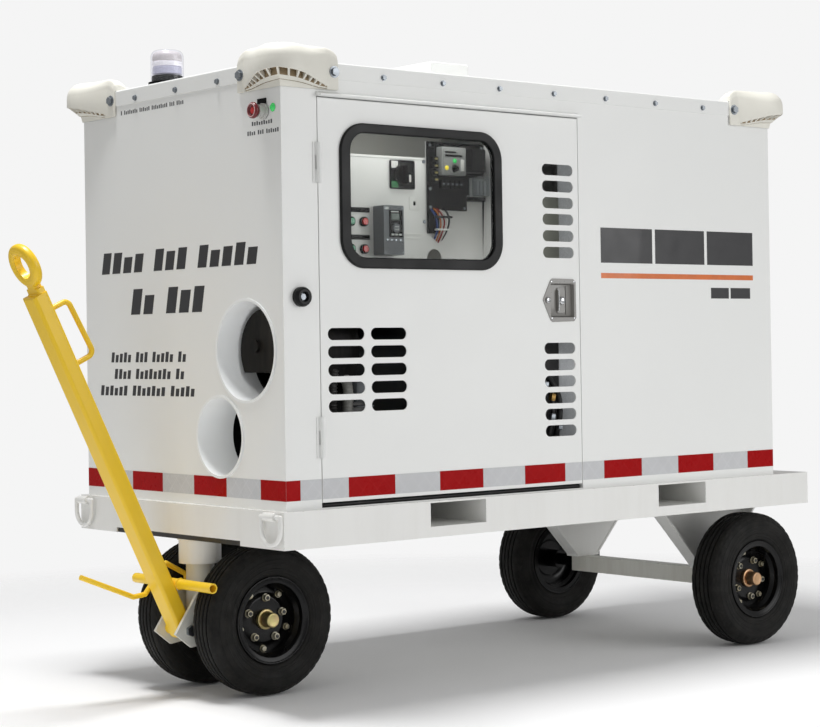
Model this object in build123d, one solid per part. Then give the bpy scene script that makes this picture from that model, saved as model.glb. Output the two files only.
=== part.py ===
from build123d import *
import math
import os

os.makedirs("parts", exist_ok=True)

# Four-wheel towed generator cart: a sheet-metal enclosure on a channel-section chassis, with a
# steered front yoke, a raised tow bar and a fixed rear axle.
# Frame: origin on the ground under the middle of the enclosure, +Z up, -X towards the tow bar
# (the front), -Y towards the service door. Millimetres.

# ---------------------------- driving dimensions ----------------------------
HALF_L, HALF_W = 919.0, 478.0                  # enclosure half length and half width
TOW_X, DOOR_Y = -HALF_L, -HALF_W               # outer faces at the tow end and the door side
FRAME_Z0, DECK_Z = 418.0, 513.0                # chassis channel, bottom and top
FRAME_X0, FRAME_X1, FRAME_Y = -937.0, 1063.0, 492.0
WALL_TOP, ROOF_TOP = 1603.0, 1644.0
SHEET = 3.0                                    # sheet thickness
CAP_GAP = 2.5                                  # roof cap stands this far outside the walls
GAP = 0.05                                     # radial running clearance, and face-to-face gap
FRONT_AXLE_X, REAR_AXLE_X = -753.0, 835.0
FRONT_Y, REAR_Y = 136.0, 434.0                 # wheel centres from the centre line
HUB_Z = 200.0
AXLE_R = 15.0
SHOULDER = 50.4                                # wheel centre to the axle shoulder inboard of it
SPINDLE_END = 20.0                             # spindle beyond the wheel centre
KING_X, KING_R = -861.0, 38.0                  # upright king pin of the steered yoke
PIVOT_X, PIVOT_Z = -930.0, 178.0
PIVOT, PIVOT_R = (PIVOT_X, PIVOT_Z), 10.0      # tow-bar pivot pin
POST_X, PANEL_X = -808.0, 108.0                # door opening, front and rear edges
SLOT_W, SLOT_H, SLOT_PITCH = 118.0, 31.0, 46.0
BIG_DUCT, BIG_R = (-312.0, 915.0), 127.0       # (y, z) and inner radius
SMALL_DUCT, SMALL_R = (-190.0, 693.0), 101.5
DUCT_DEEP = 110.0
ESTOP, ESTOP_HOLE = (-409.0, 1517.0), 11.0     # (y, z) and panel hole radius
LAMP = (-447.0, 1523.0)
SHAFT_Z, SHAFT_R = 800.0, 25.0                 # crankshaft


# --------------------------------- helpers ----------------------------------
def box(x0, x1, y0, y1, z0, z1):
    return Pos((x0 + x1) / 2, (y0 + y1) / 2, (z0 + z1) / 2) * Box(x1 - x0, y1 - y0, z1 - z0)


def span(sign, near, far):
    """Ascending pair of limits, mirrored when sign is -1."""
    return sorted((sign * near, sign * far))


def rod(start, end, radius):
    start, end = Vector(start), Vector(end)
    axis = end - start
    return Plane(origin=start, z_dir=axis) * Cylinder(
        radius, axis.length, align=(Align.CENTER, Align.CENTER, Align.MIN))


def rod_x(x0, x1, y, z, radius):
    return rod((x0, y, z), (x1, y, z), radius)


def rod_y(y0, y1, x, z, radius):
    return rod((x, y0, z), (x, y1, z), radius)


def rod_z(z0, z1, x, y, radius):
    return rod((x, y, z0), (x, y, z1), radius)


def hexagon(flats):
    return RegularPolygon(flats / math.sqrt(3), 6)


def hexbar(start, end, flats):
    start, end = Vector(start), Vector(end)
    axis = end - start
    return extrude(Plane(origin=start, z_dir=axis) * hexagon(flats), amount=axis.length)


def washer_bolt(face, out, washer_r, washer_t, flats, height):
    """Hex head with a washer, standing on the point face and pointing along out."""
    face, out = Vector(face), Vector(out)
    washer = rod(face, face + out * washer_t, washer_r)
    return washer + hexbar(face + out, face + out * height, flats)


def bent(points, radius):
    """Round bar through the points, with a ball at each bend."""
    bar = rod(points[0], points[1], radius)
    for start, end in zip(points[1:-1], points[2:]):
        bar += rod(start, end, radius)
    for point in points[1:-1]:
        bar += Pos(*point) * Sphere(radius)
    return bar


def bent_round(points, radius, bends):
    """Round bar swept along the points; bends gives the bend radius at each inner point."""
    points = [Vector(*p) for p in points]
    edges, start = [], points[0]
    for before, corner, after, bend in zip(points[:-2], points[1:-1], points[2:], bends):
        u, v = (before - corner).normalized(), (after - corner).normalized()
        half = math.acos(max(-1.0, min(1.0, u.dot(v)))) / 2
        back = bend / math.tan(half)
        mid = corner + (u + v).normalized() * (bend / math.sin(half) - bend)
        end = corner + v * back
        arc_start = corner + u * back
        edges += [Line(start, arc_start), ThreePointArc(arc_start, mid, end)]
        start = end
    edges.append(Line(start, points[-1]))
    end_plane = Plane(origin=points[0], z_dir=points[1] - points[0])
    return sweep(end_plane * Circle(radius), path=Wire(edges))


def plane_xz(y):
    """Drawing plane in (x, z) whose normal is -Y."""
    return Plane(origin=(0, y, 0), x_dir=(1, 0, 0), z_dir=(0, -1, 0))


def plane_yz(x):
    """Drawing plane in (y, z) whose normal is +X."""
    return Plane(origin=(x, 0, 0), x_dir=(0, 1, 0), z_dir=(1, 0, 0))


def plate_xz(points, y0, y1):
    outline = plane_xz(y1) * Polygon(*points, align=None)
    return extrude(outline, amount=y1 - y0, dir=(0, -1, 0))


def plate_yz(points, x0, x1):
    outline = plane_yz(x0) * Polygon(*points, align=None)
    return extrude(outline, amount=x1 - x0, dir=(1, 0, 0))


def column(x, z0, pitch, count):
    """Slot centres stacked upwards from z0."""
    return [(x, z0 + pitch * i) for i in range(count)]


def slots_y(centres, y0, y1):
    """Round-ended openings through a wall that faces Y."""
    plane = plane_xz(y1)
    sketch = Sketch() + [plane * Pos(x, z) * SlotOverall(SLOT_W, SLOT_H) for x, z in centres]
    return extrude(sketch, amount=y1 - y0, dir=(0, -1, 0))


def slots_x(centres, x0, x1, width, height):
    """Round-ended openings through a wall that faces X."""
    plane = plane_yz(x0)
    sketch = Sketch() + [plane * Pos(y, z) * SlotOverall(width, height) for y, z in centres]
    return extrude(sketch, amount=x1 - x0, dir=(1, 0, 0))


def rounded_y(x0, x1, z0, z1, corner, y0, y1):
    """Block with its four Y edges rounded."""
    outline = Pos((x0 + x1) / 2, (z0 + z1) / 2) * RectangleRounded(x1 - x0, z1 - z0, corner)
    return extrude(plane_xz(y1) * outline, amount=y1 - y0)


def inset(rect, by):
    x0, x1, z0, z1 = rect
    return x0 + by, x1 - by, z0 + by, z1 - by


def turned(*points):
    """Solid of revolution about Z from (radius, z) points."""
    return revolve(Plane.XZ * Polygon(*points, align=None), axis=Axis.Z)


def soften(shape, edges, radii):
    """Round the edges with the first radius that the solid takes."""
    for radius in radii:
        # A fillet can fail on a large radius; the next, smaller one is then tried.
        try:
            out = fillet(edges, radius)
            if out.is_valid and abs(out.volume) > 0:
                return out
        except Exception:
            continue
    return shape


def save(name, shape):
    shapes = shape if isinstance(shape, (list, tuple)) else [shape]
    solids = [solid for item in shapes for solid in item.solids()]
    out = solids[0] if len(solids) == 1 else Compound(children=solids)
    out.label = name
    export_step(out, "parts/" + name + ".step")


# ------------------------------ chassis frame -------------------------------
WEB, FLANGE = 5.0, 40.0
FORKS = ((-463.0, -269.0), (398.0, 598.0))     # fork pockets, x limits
RING_X, RING_Z, RING_R = -950.0, 501.0, 6.0    # lashing-ring barrel axis and bar radius
RINGS = {"front_door": -453.0, "front_far": 453.0}

frame = box(FRAME_X0, FRAME_X1, -FRAME_Y, FRAME_Y, DECK_Z - 4, DECK_Z)      # deck plate
for side in (-1, 1):
    # side web, bottom flange and inner rail
    frame += box(FRAME_X0, FRAME_X1, *span(side, FRAME_Y, FRAME_Y - WEB), FRAME_Z0, DECK_Z)
    frame += box(FRAME_X0, FRAME_X1, *span(side, FRAME_Y, FRAME_Y - FLANGE),
                 FRAME_Z0, FRAME_Z0 + WEB)
    frame += box(FRAME_X0 + 2, FRAME_X1 - 2, *span(side, 250, 300), FRAME_Z0, DECK_Z - 2)
# end webs and their bottom flanges
frame += box(FRAME_X0, FRAME_X0 + WEB, -FRAME_Y, FRAME_Y, FRAME_Z0, DECK_Z)
frame += box(FRAME_X0, FRAME_X0 + FLANGE, -FRAME_Y, FRAME_Y, FRAME_Z0, FRAME_Z0 + WEB)
frame += box(FRAME_X1 - WEB, FRAME_X1, -FRAME_Y, FRAME_Y, FRAME_Z0, DECK_Z)
frame += box(FRAME_X1 - FLANGE, FRAME_X1, -FRAME_Y, FRAME_Y, FRAME_Z0, FRAME_Z0 + WEB)
for x in (-620.0, 60.0, 760.0):                                            # cross members
    frame += box(x - 25, x + 25, -FRAME_Y + 2, FRAME_Y - 2, FRAME_Z0 + 6, DECK_Z - 2)
# relief in the front web, then the king-pin base plate and housing
frame -= box(FRAME_X0 - 1, FRAME_X0 + 4.6, -300, 300, FRAME_Z0 - 1, FRAME_Z0 + 13)
frame += box(-932, -770, -298, 298, FRAME_Z0, FRAME_Z0 + 13)
frame += rod_z(350, DECK_Z - 3, KING_X, 0, 57)
for x0, x1 in FORKS:                                                       # pocket sleeves
    frame += box(x0 - 5, x1 + 5, -FRAME_Y, FRAME_Y, 441, DECK_Z)
for x0, x1 in FORKS:
    frame -= box(x0, x1, -FRAME_Y - 5, FRAME_Y + 5, 446, 508)
frame -= rod_z(300, DECK_Z - 10, KING_X, 0, KING_R + GAP)
# rear axle hangers: tapered web, two sloping flanges and a foot
for side in (-1, 1):
    frame += plate_xz([(602, 419), (1058, 419), (880, 224), (790, 224)], *span(side, 252, 258))
    rail = span(side, 250, 300)
    frame += plate_xz([(600, 419), (609, 419), (797, 224), (788, 224)], *rail)
    frame += plate_xz([(1060, 419), (1051, 419), (873, 224), (882, 224)], *rail)
    frame += box(786, 884, *rail, 220, 227)
# lashing-ring barrels at the two tow-end corners
for y in RINGS.values():
    frame += rod_y(y - 23, y + 23, RING_X, RING_Z, 11.5)
    frame += box(RING_X, FRAME_X0 + 1, y - 23, y + 23, RING_Z - 9, RING_Z + 7)
for y in RINGS.values():
    frame -= rod_y(y - 30, y + 30, RING_X, RING_Z, RING_R + GAP)
save("chassis_frame", frame)

# lashing rings: straight top run, two legs and a half-round bow below
RING_HALF, RING_LEG = 41, 30
for name, y in RINGS.items():
    low = RING_Z - RING_LEG
    y0, y1 = y - RING_HALF, y + RING_HALF
    ring = bent([(RING_X, y0, low), (RING_X, y0, RING_Z), (RING_X, y1, RING_Z),
                 (RING_X, y1, low)], RING_R)
    ring += revolve(Plane(origin=(RING_X, y0, low), z_dir=(0, 0, 1)) * Circle(RING_R),
                    axis=Axis((RING_X, y, low), (1, 0, 0)), revolution_arc=180)
    save("lashing_ring_" + name, ring)

# rear axle: hollow square beam with a stepped spindle at each end
beam = box(REAR_AXLE_X - 25, REAR_AXLE_X + 25, -302, 302, 170, 219.9)
beam -= box(REAR_AXLE_X - 20, REAR_AXLE_X + 20, -290, 290, 175, 215)
for side in (-1, 1):
    beam += rod_y(*span(side, 300, REAR_Y - SHOULDER), REAR_AXLE_X, HUB_Z, 19)
    beam += rod_y(*span(side, 358, REAR_Y + SPINDLE_END), REAR_AXLE_X, HUB_Z, AXLE_R)
save("rear_axle", beam)

# ---------------------------------- wheels ----------------------------------
# Drawn about Z with the outboard side at +Z. Outlines are (radius, z).
# Half of the tyre section: tread centre, over the sidewall to the bead, back along the inside.
TYRE_HALF = [
    (199.6, 0), (199.5, 5.6), (193.6, 6.6), (193.6, 9.6), (199.3, 10.6), (199.0, 21.6),
    (193.2, 22.6), (193.2, 25.8), (198.4, 26.8), (197.2, 36), (194.6, 43), (190.4, 44.6),
    (189.4, 48.4), (183, 52.6), (174, 55.4), (165, 56.2), (161, 56.0), (159.5, 57.2),
    (150, 56.9), (148.5, 55.2), (138, 52.6), (136.5, 53.6), (131, 52.4), (129.5, 50.4),
    (123, 48.8), (118.3, 45.4), (117.2, 43.8), (101.5, 43.8), (101.5, 34), (108, 32),
    (125, 41), (150, 47.5), (170, 46.5), (183, 39), (187.5, 22), (188.5, 0)]
RIM = [
    (116.6, -48), (116.6, -44), (101.3, -44), (101.3, -30), (91, -22), (91, 18), (101.3, 28),
    (101.3, 44), (116.6, 44), (117, 46), (116, 48.5), (113.5, 49.5), (110, 47.5), (97.5, 46.0),
    (97.5, 30), (87, 20), (87, -24), (97.5, -32), (97.5, -46), (110, -46), (113, -48)]
DISC = [
    (22, 7), (58, 7), (62, 6), (68, 1.5), (74, 0), (88, 0), (88, -5), (72, -5), (64, -3),
    (57, 2), (22, 2)]
HUB_CAP = [
    (19.5, 13), (19.5, 16.5), (17.6, 17.5), (17.6, 33), (16, 35), (0, 35), (0, 31), (15.5, 31),
    (15.5, 13)]
# x, y, turn about X that faces the wheel outboard, spin about its own axis
WHEELS = {
    "front_door": (FRONT_AXLE_X, -FRONT_Y, 90, 4), "front_far": (FRONT_AXLE_X, FRONT_Y, -90, 40),
    "rear_door": (REAR_AXLE_X, -REAR_Y, 90, 28), "rear_far": (REAR_AXLE_X, REAR_Y, -90, 11)}


def nut_ring(ring_r, flats, z0, z1, stud_r, phase):
    """Five tapered nuts on a circle, with a stud end in each if stud_r is not zero."""
    nuts = []
    for i in range(5):
        angle = math.radians(phase + 72 * i)
        x, y = ring_r * math.cos(angle), ring_r * math.sin(angle)
        nut = Pos(x, y, z0) * extrude(hexagon(flats), amount=z1 - z0)
        nut = nut & (Pos(x, y, z0) * Cone(flats * 0.72, flats * 0.46, z1 - z0,
                                          align=(Align.CENTER, Align.CENTER, Align.MIN)))
        if stud_r:
            nut += rod_z(z1 - 1, z1 + 4, x, y, stud_r)
        nuts += list(nut.solids())
    return nuts


tyre = turned(*TYRE_HALF, *[(r, -z) for r, z in TYRE_HALF[1:-1]][::-1])
hub = rod_z(-50, 8, 0, 0, 29) + rod_z(7, 13, 0, 0, 23.5)
wheel = (turned(*RIM) + turned(*DISC) + hub) - rod_z(-60, 60, 0, 0, AXLE_R + GAP)
wheel_set = [wheel, turned(*HUB_CAP)]
wheel_set += nut_ring(ring_r=50, flats=20, z0=7, z1=18, stud_r=5.5, phase=90)
wheel_set += nut_ring(ring_r=77, flats=18, z0=0, z1=9, stud_r=0, phase=126)
for name, (x, y, turn, spin) in WHEELS.items():
    place = Pos(x, y, HUB_Z) * Rot(turn, 0, 0) * Rot(0, 0, spin)
    save("tyre_" + name, place * tyre)
    save("wheel_" + name, [place * item for item in wheel_set])

# ------------------------------- steered yoke -------------------------------
CHEEK = 44, 54                                 # cheek plate faces from the centre line
CHEEK_OUTLINE = [                              # (x, z)
    (-976, 172), (-927, 133), (-745, 158), (-722, 176), (-716, 200), (-722, 224), (-742, 240),
    (-835, 290), (-895, 290)]
yoke = rod_z(205, 500, KING_X, 0, KING_R)
for side in (-1, 1):
    yoke += plate_xz(CHEEK_OUTLINE, *span(side, *CHEEK))
    yoke += rod_y(*span(side, 53, FRONT_Y - SHOULDER), FRONT_AXLE_X, HUB_Z, 24)
# webs between the cheeks
yoke += box(-893, -755, -45, 45, 195, 206)
yoke += box(-896, -838, -45, 45, 278, 289)
yoke += box(-830, -760, -45, 45, 150, 160)
yoke += rod_y(-FRONT_Y - SPINDLE_END, FRONT_Y + SPINDLE_END, FRONT_AXLE_X, HUB_Z, AXLE_R)
yoke += box(-894, -872, *CHEEK, 280, 296)
yoke += rod_y(44, 64, -884, 286, 6)                                        # catch peg
yoke -= rod_y(-60, 60, *PIVOT, PIVOT_R + GAP)
save("caster_yoke", yoke)

pin = rod_y(-60, 60, *PIVOT, PIVOT_R)
for side in (-1, 1):
    pin += hexbar((PIVOT_X, side * 54.1, PIVOT_Z), (PIVOT_X, side * 64, PIVOT_Z), 26)
save("towbar_pin", pin)

# --------------------------------- tow bar ----------------------------------
BAR = Vector(-0.4305, 0, 0.9026)               # up along the raised bar
BACK = Vector(0.9026, 0, 0.4305)               # square to it, towards the cart
BAR_FOOT = Vector(-938, 0, 151)                # foot of the bar's front face
BAR_LEN, BAR_W, BAR_T = 1001.0, 64.0, 45.0
BAR_WALL = 4
LEVER, LEVER_PEG_R = (-975.0, 312.0), 6.5      # lock-lever peg (x, z) and radius


def along(up, back):
    """The (x, z) point at a distance up the bar and back from its front face."""
    point = BAR_FOOT + BAR * up + BACK * back
    return point.X, point.Z


def bar_section(up0, up1, back0, back1, half_w):
    outline = [along(up0, back0), along(up1, back0), along(up1, back1), along(up0, back1)]
    return plate_xz(outline, -half_w, half_w)


bar = plate_xz([along(0, 6), along(10, 0), along(BAR_LEN - 4, 0), along(BAR_LEN, 4),
                along(BAR_LEN, BAR_T - 4), along(BAR_LEN - 4, BAR_T), along(2, BAR_T),
                along(-4, BAR_T - 14)], -BAR_W / 2, BAR_W / 2)
bar = soften(bar, bar.edges().filter_by(lambda e: e.length > 900), (9, 8, 6, 4, 3))
bar -= bar_section(70, BAR_LEN - 6, BAR_WALL, BAR_T - BAR_WALL, BAR_W / 2 - BAR_WALL)
bar += rod_y(-43.9, 43.9, *PIVOT, 17)
bar -= rod_y(-70, 70, *PIVOT, PIVOT_R + GAP)
# cross bar ahead of the front tyres, bored from both ends
CROSS = (-946, 301)
bar += (rod_y(-187, 187, *CROSS, 13.35) - rod_y(-190, -30, *CROSS, 10)
        - rod_y(30, 190, *CROSS, 10))
bar += rod_y(31, 62, *LEVER, LEVER_PEG_R)
# grab handle on the bar's back face
handle = bent_round([(-1312, 0, 1024.8), (-1255, 0, 1052), (-1179, 0, 914), (-1244, 0, 883)],
                    7.3, (17, 17))
handle -= bar_section(0, BAR_LEN + 20, -20, BAR_T - 0.5, 40)
save("towbar", bar + handle)

# towing eye: ring, stem and foot pad on the bar's end, local y up along the bar
eye_plane = Plane(origin=BAR_FOOT + BAR * (BAR_LEN + 78) + BACK * 31.0, x_dir=(0, 1, 0),
                  z_dir=BACK)
ring_section = Plane.XZ * (Pos(45, 0) * RectangleRounded(28, 26, 11)
                           + Pos(38, 0) * Rectangle(14, 20))
stem = Pos(0, -52, 0) * Box(42, 52, 24)
stem = soften(stem, stem.edges().filter_by(Axis.Y), (8, 6, 4))
foot_pad = Pos(0, -70, 0) * Box(56, 16, 24)
foot_pad = soften(foot_pad, foot_pad.edges().filter_by(Axis.Y), (6, 4))
eye = eye_plane * revolve(ring_section, axis=Axis.Z) + eye_plane * stem + eye_plane * foot_pad
eye -= eye_plane * Cylinder(31, 60)
save("tow_eye", eye)

lever = bent([(-873, 50, 301), (-875, 50, 316), (-938, 50, 350), (-1004, 50, 272),
              (-1040, 50, 268), (-1199, 50, 333)], 7)
lever += rod_y(42, 59, *LEVER, 13.5)
lever -= rod_y(30, 70, *LEVER, LEVER_PEG_R + GAP)
save("lock_lever", lever)

# ------------------------------ enclosure skin ------------------------------
# tow end, wrapped round both corners
SEAM_X = TOW_X + 70                            # joint with the far side sheet
front = box(TOW_X, TOW_X + SHEET, -HALF_W, HALF_W, DECK_Z, WALL_TOP)
front += box(TOW_X, POST_X, DOOR_Y, DOOR_Y + SHEET, DECK_Z, WALL_TOP)
front += box(POST_X - SHEET, POST_X, DOOR_Y, DOOR_Y + 24, DECK_Z, WALL_TOP)
front += box(TOW_X, SEAM_X, HALF_W - SHEET, HALF_W, DECK_Z, WALL_TOP)
for centre, radius in ((BIG_DUCT, BIG_R + 3), (SMALL_DUCT, SMALL_R + 3), (ESTOP, ESTOP_HOLE),
                       (LAMP, 8)):
    front -= rod_x(TOW_X - 5, TOW_X + 8, *centre, radius)
save("front_panel", front)

# duct spigots: open tubes with a lip outside the panel
spigots = []
for centre, radius in ((BIG_DUCT, BIG_R), (SMALL_DUCT, SMALL_R)):
    tube = (rod_x(TOW_X - 3, TOW_X + DUCT_DEEP, *centre, radius + 2.9)
            - rod_x(TOW_X - 10, TOW_X + DUCT_DEEP + 5, *centre, radius))
    lip = (rod_x(TOW_X - 3, TOW_X - 0.1, *centre, radius + 7)
           - rod_x(TOW_X - 10, TOW_X + 5, *centre, radius))
    spigots.append(tube + lip)
save("duct_spigots", spigots)

# door side: header, plain rear part, jamb, lintel and sill
side_panel = box(POST_X, HALF_L - SHEET, DOOR_Y, DOOR_Y + SHEET, 1556, WALL_TOP)
side_panel += box(PANEL_X, HALF_L - SHEET, DOOR_Y, DOOR_Y + SHEET, DECK_Z, WALL_TOP)
side_panel += box(PANEL_X, PANEL_X + SHEET, DOOR_Y, DOOR_Y + 24, DECK_Z, 1570)
side_panel += box(POST_X, PANEL_X + SHEET, DOOR_Y + SHEET, DOOR_Y + 24, 1556, 1559)
side_panel += box(POST_X, PANEL_X + SHEET, DOOR_Y + 1, DOOR_Y + 30, DECK_Z, 516)
side_panel += box(POST_X, PANEL_X + SHEET, DOOR_Y + 28, DOOR_Y + 30, DECK_Z, 545)
# drip edge over the door
side_panel += plate_yz([(DOOR_Y + 0.5, 1569), (DOOR_Y + 0.5, 1555.5), (DOOR_Y - 17, 1555.5),
                        (DOOR_Y - 20, 1558), (DOOR_Y - 20, 1561), (DOOR_Y - 3, 1567)],
                       POST_X, 107)
save("door_side_panel", side_panel)

# far side: one sheet with a low slot bank at each end and a high one at the rear
far_slots = []
for x, z0 in ((-420, 680), (-281, 680), (470, 680), (609, 680), (470, 1175), (609, 1175)):
    far_slots += column(x, z0, SLOT_PITCH, 6)
far = box(SEAM_X, HALF_L - SHEET, HALF_W - SHEET, HALF_W, DECK_Z, WALL_TOP)
far -= slots_y(far_slots, HALF_W - 8, HALF_W + 5)
save("far_side_panel", far)

# rear end, with three columns of air slots
rear = box(HALF_L - SHEET, HALF_L, -HALF_W, HALF_W, DECK_Z, WALL_TOP)
rear_slots = [slot for y in (-210, 0, 210) for slot in column(y, 760, 42, 14)]
rear -= slots_x(rear_slots, HALF_L - 8, HALF_L + 5, 180, 24)
save("rear_panel", rear)

# roof cap: folded pan over the walls, open under the roof box
VENT_X0, VENT_X1, VENT_Y, VENT_TOP = -150.0, -8.0, 150.0, 1735.0
cap = box(-HALF_L - CAP_GAP, HALF_L + CAP_GAP, -HALF_W - CAP_GAP, HALF_W + CAP_GAP,
          WALL_TOP - 2, ROOF_TOP)
cap = soften(cap, cap.edges().filter_by(lambda e: e.center().Z > ROOF_TOP - 1), (5, 4, 3))
cap -= box(-HALF_L, HALF_L, -HALF_W, HALF_W, WALL_TOP - 10, ROOF_TOP - SHEET)
cap -= box(VENT_X0 + 12, VENT_X1 - 12, -VENT_Y + 12, VENT_Y - 12, ROOF_TOP - 10, ROOF_TOP + 10)
save("roof_cap", cap)

# roof box, open underneath, with slots in its rear face
vent = box(VENT_X0, VENT_X1, -VENT_Y, VENT_Y, ROOF_TOP, VENT_TOP)
vent = soften(vent, vent.edges().filter_by(
    lambda e: e.center().Z > VENT_TOP - 1 or abs(e.length - (VENT_TOP - ROOF_TOP)) < 0.1), (5, 3))
vent -= box(VENT_X0 + 3, VENT_X1 - 3, -VENT_Y + 3, VENT_Y - 3, ROOF_TOP - 1, VENT_TOP - 3)
vent_slots = [slot for y in (-75, 0, 75) for slot in column(y, 1672, 22, 3)]
vent -= slots_x(vent_slots, VENT_X1 - 6, VENT_X1 + 6, 60, 10)
save("roof_box", vent)

# --------------------------- roof corner bumpers ----------------------------
TAB_FACE = 9                                   # outer face of the end tabs, from the wall


def bumper():
    """Bumper for the +X +Y corner, with the enclosure corner at (0, 0)."""
    reach, corner_r = 52.0, 62.0
    nose = reach - corner_r + corner_r * math.sqrt(0.5)
    near, middle, far_end = (-146, TAB_FACE), (-97, 30.5), (-46, 47.0)     # outer side curve
    wall = CAP_GAP + 0.2
    lap_back, lap_z, lap_top = -38, ROOF_TOP + 0.2, 1672                   # part over the roof
    bottom = 1573

    def shell(back, z0, z1):
        """Block between the outer curve and a square inner corner at depth back."""
        wire = Line(near, (near[0], back)) + Line((near[0], back), (back, back)) \
            + Line((back, back), (back, near[0])) + Line((back, near[0]), near[::-1]) \
            + ThreePointArc(near[::-1], middle[::-1], far_end[::-1]) \
            + ThreePointArc(far_end[::-1], (nose, nose), far_end) \
            + ThreePointArc(far_end, middle, near)
        return Pos(0, 0, z0) * extrude(make_face(wire), amount=z1 - z0, dir=(0, 0, 1))

    body = shell(wall, bottom, lap_z) + shell(lap_back, lap_z, 1681)
    tab = -181, -145.9
    body = body + (box(*tab, wall, TAB_FACE, bottom, lap_top)
                   + box(*tab, lap_back, wall + 1, lap_z, lap_top))
    body = body + (box(wall, TAB_FACE, *tab, bottom, lap_top)
                   + box(lap_back, wall + 1, *tab, lap_z, lap_top))
    # slanted underside, rising outwards from a collar against the walls
    slope = [(6.5, 1500), (6.5, 1589), (62, 1622), (200, 1622), (200, 1500)]
    body -= plate_yz(slope, -146, 200)
    body -= plate_xz(slope, -146, 200)
    return sorted(body.solids(), key=lambda s: -s.volume)[0]


# the bumper is symmetric about its own diagonal, so quarter turns place all four
corner_bumper = bumper()
save("corner_bumpers", [Pos(x * HALF_L, y * HALF_W, 0) * Rot(0, 0, turn) * corner_bumper
                        for x, y, turn in ((1, 1, 0), (-1, 1, 90), (-1, -1, 180), (1, -1, 270))])

# bolts through the bumper tabs
TAB_BOLT = dict(washer_r=15, washer_t=2, flats=19, height=9)
TAB_BACK, TAB_OUT = 162.5, TAB_FACE + GAP      # bolt from the corner, bolt seat from the wall
bolts = []
for sx in (-1, 1):
    for sy in (-1, 1):
        face = (sx * (HALF_L - TAB_BACK), sy * (HALF_W + TAB_OUT), 1619)
        bolts.append(washer_bolt(face, (0, sy, 0), **TAB_BOLT))
        face = (sx * (HALF_L + TAB_OUT), sy * (HALF_W - TAB_BACK), 1617)
        bolts.append(washer_bolt(face, (sx, 0, 0), **TAB_BOLT))
save("bumper_bolts", bolts)

# screws round the roof cap flange
ROOF_SCREW = dict(washer_r=8, washer_t=1.5, flats=11, height=6.5)
SCREW_OUT = CAP_GAP + 0.02
screws = []
for x in (-591, -389, -187, 16, 218, 421, 624):
    for side in (-1, 1):
        screws.append(washer_bolt((x, side * (HALF_W + SCREW_OUT), 1617), (0, side, 0),
                                  **ROOF_SCREW))
for y in (-204, -5, 197):
    for side in (-1, 1):
        screws.append(washer_bolt((side * (HALF_L + SCREW_OUT), y, 1614), (side, 0, 0),
                                  **ROOF_SCREW))
save("roof_screws", screws)

# ---------------------------------- beacon ----------------------------------
BEACON = (-860.0, 130.0)                       # (x, y)
base = rod_z(ROOF_TOP, 1652, *BEACON, 52) + rod_z(1651, 1668, *BEACON, 40)
base = soften(base, base.edges().filter_by(GeomType.CIRCLE).group_by(Axis.Z)[-1], (3, 2))
save("beacon_base", base)
lens = turned((45, 1652.1), (45, 1722), (44, 1729), (40, 1735.5), (33, 1740), (25, 1741),
              (0, 1741), (0, 1737), (25, 1737), (31, 1736), (37, 1732), (40.5, 1727),
              (41.2, 1722), (41.2, 1652.1))
save("beacon_lens", Pos(*BEACON, 0) * lens)

# ------------------------------ E-stop station ------------------------------
STEM_R = 6
estop_y, estop_z = ESTOP
lamp_y, lamp_z = LAMP
collar = rod_x(TOW_X - 24, TOW_X - 2.2, *ESTOP, 16) + rod_x(TOW_X - 3, TOW_X + 22, *ESTOP, 10.8)
collar += rod_x(TOW_X - 9, TOW_X - 2.2, *ESTOP, 19.5)
collar -= rod_x(TOW_X - 40, TOW_X + 8, *ESTOP, STEM_R + GAP)
legend = box(TOW_X - 2, TOW_X - 0.1, estop_y - 9, estop_y + 29, estop_z - 10, estop_z + 33)
legend -= rod_x(TOW_X - 10, TOW_X + 5, *ESTOP, ESTOP_HOLE)
lamp = rod_x(TOW_X - 2, TOW_X - 0.1, *LAMP, 11) + rod_x(TOW_X - 1, TOW_X + 18, *LAMP, 7.8)
dome = Pos(TOW_X + 2, lamp_y, lamp_z) * Sphere(10.5) & box(
    TOW_X - 20, TOW_X - 1.5, lamp_y - 12, lamp_y + 12, lamp_z - 12, lamp_z + 12)
save("estop_station", [collar, legend, lamp + dome])
mushroom = turned((0, 12.5), (11, 12.0), (13, 10.5), (15.5, 10.8), (18.5, 9.0), (20.5, 5.5),
                  (20.5, 1), (19, 0), (STEM_R, 0), (STEM_R, -17), (0, -17))
save("estop_button", Pos(TOW_X - 31.5, estop_y, estop_z) * Rot(0, -90, 0) * mushroom)

# ------------------------------- service door -------------------------------
DOOR_X0, DOOR_X1, DOOR_Z0, DOOR_Z1 = -805.0, 105.0, 529.0, 1553.0
DOOR_SKIN = 2.5
# rectangles as x0, x1, z0, z1
GASKET = (-738.0, -186.0, 1122.0, 1495.0)
WINDOW_CUT = (-724.0, -200.0, 1134.0, 1483.0)
WINDOW = (-706.0, -216.0, 1150.0, 1470.0)
TRAY_X0, TRAY_X1, TRAY_Z0, TRAY_Z1 = -9.0, 84.0, 993.0, 1091.0

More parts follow.
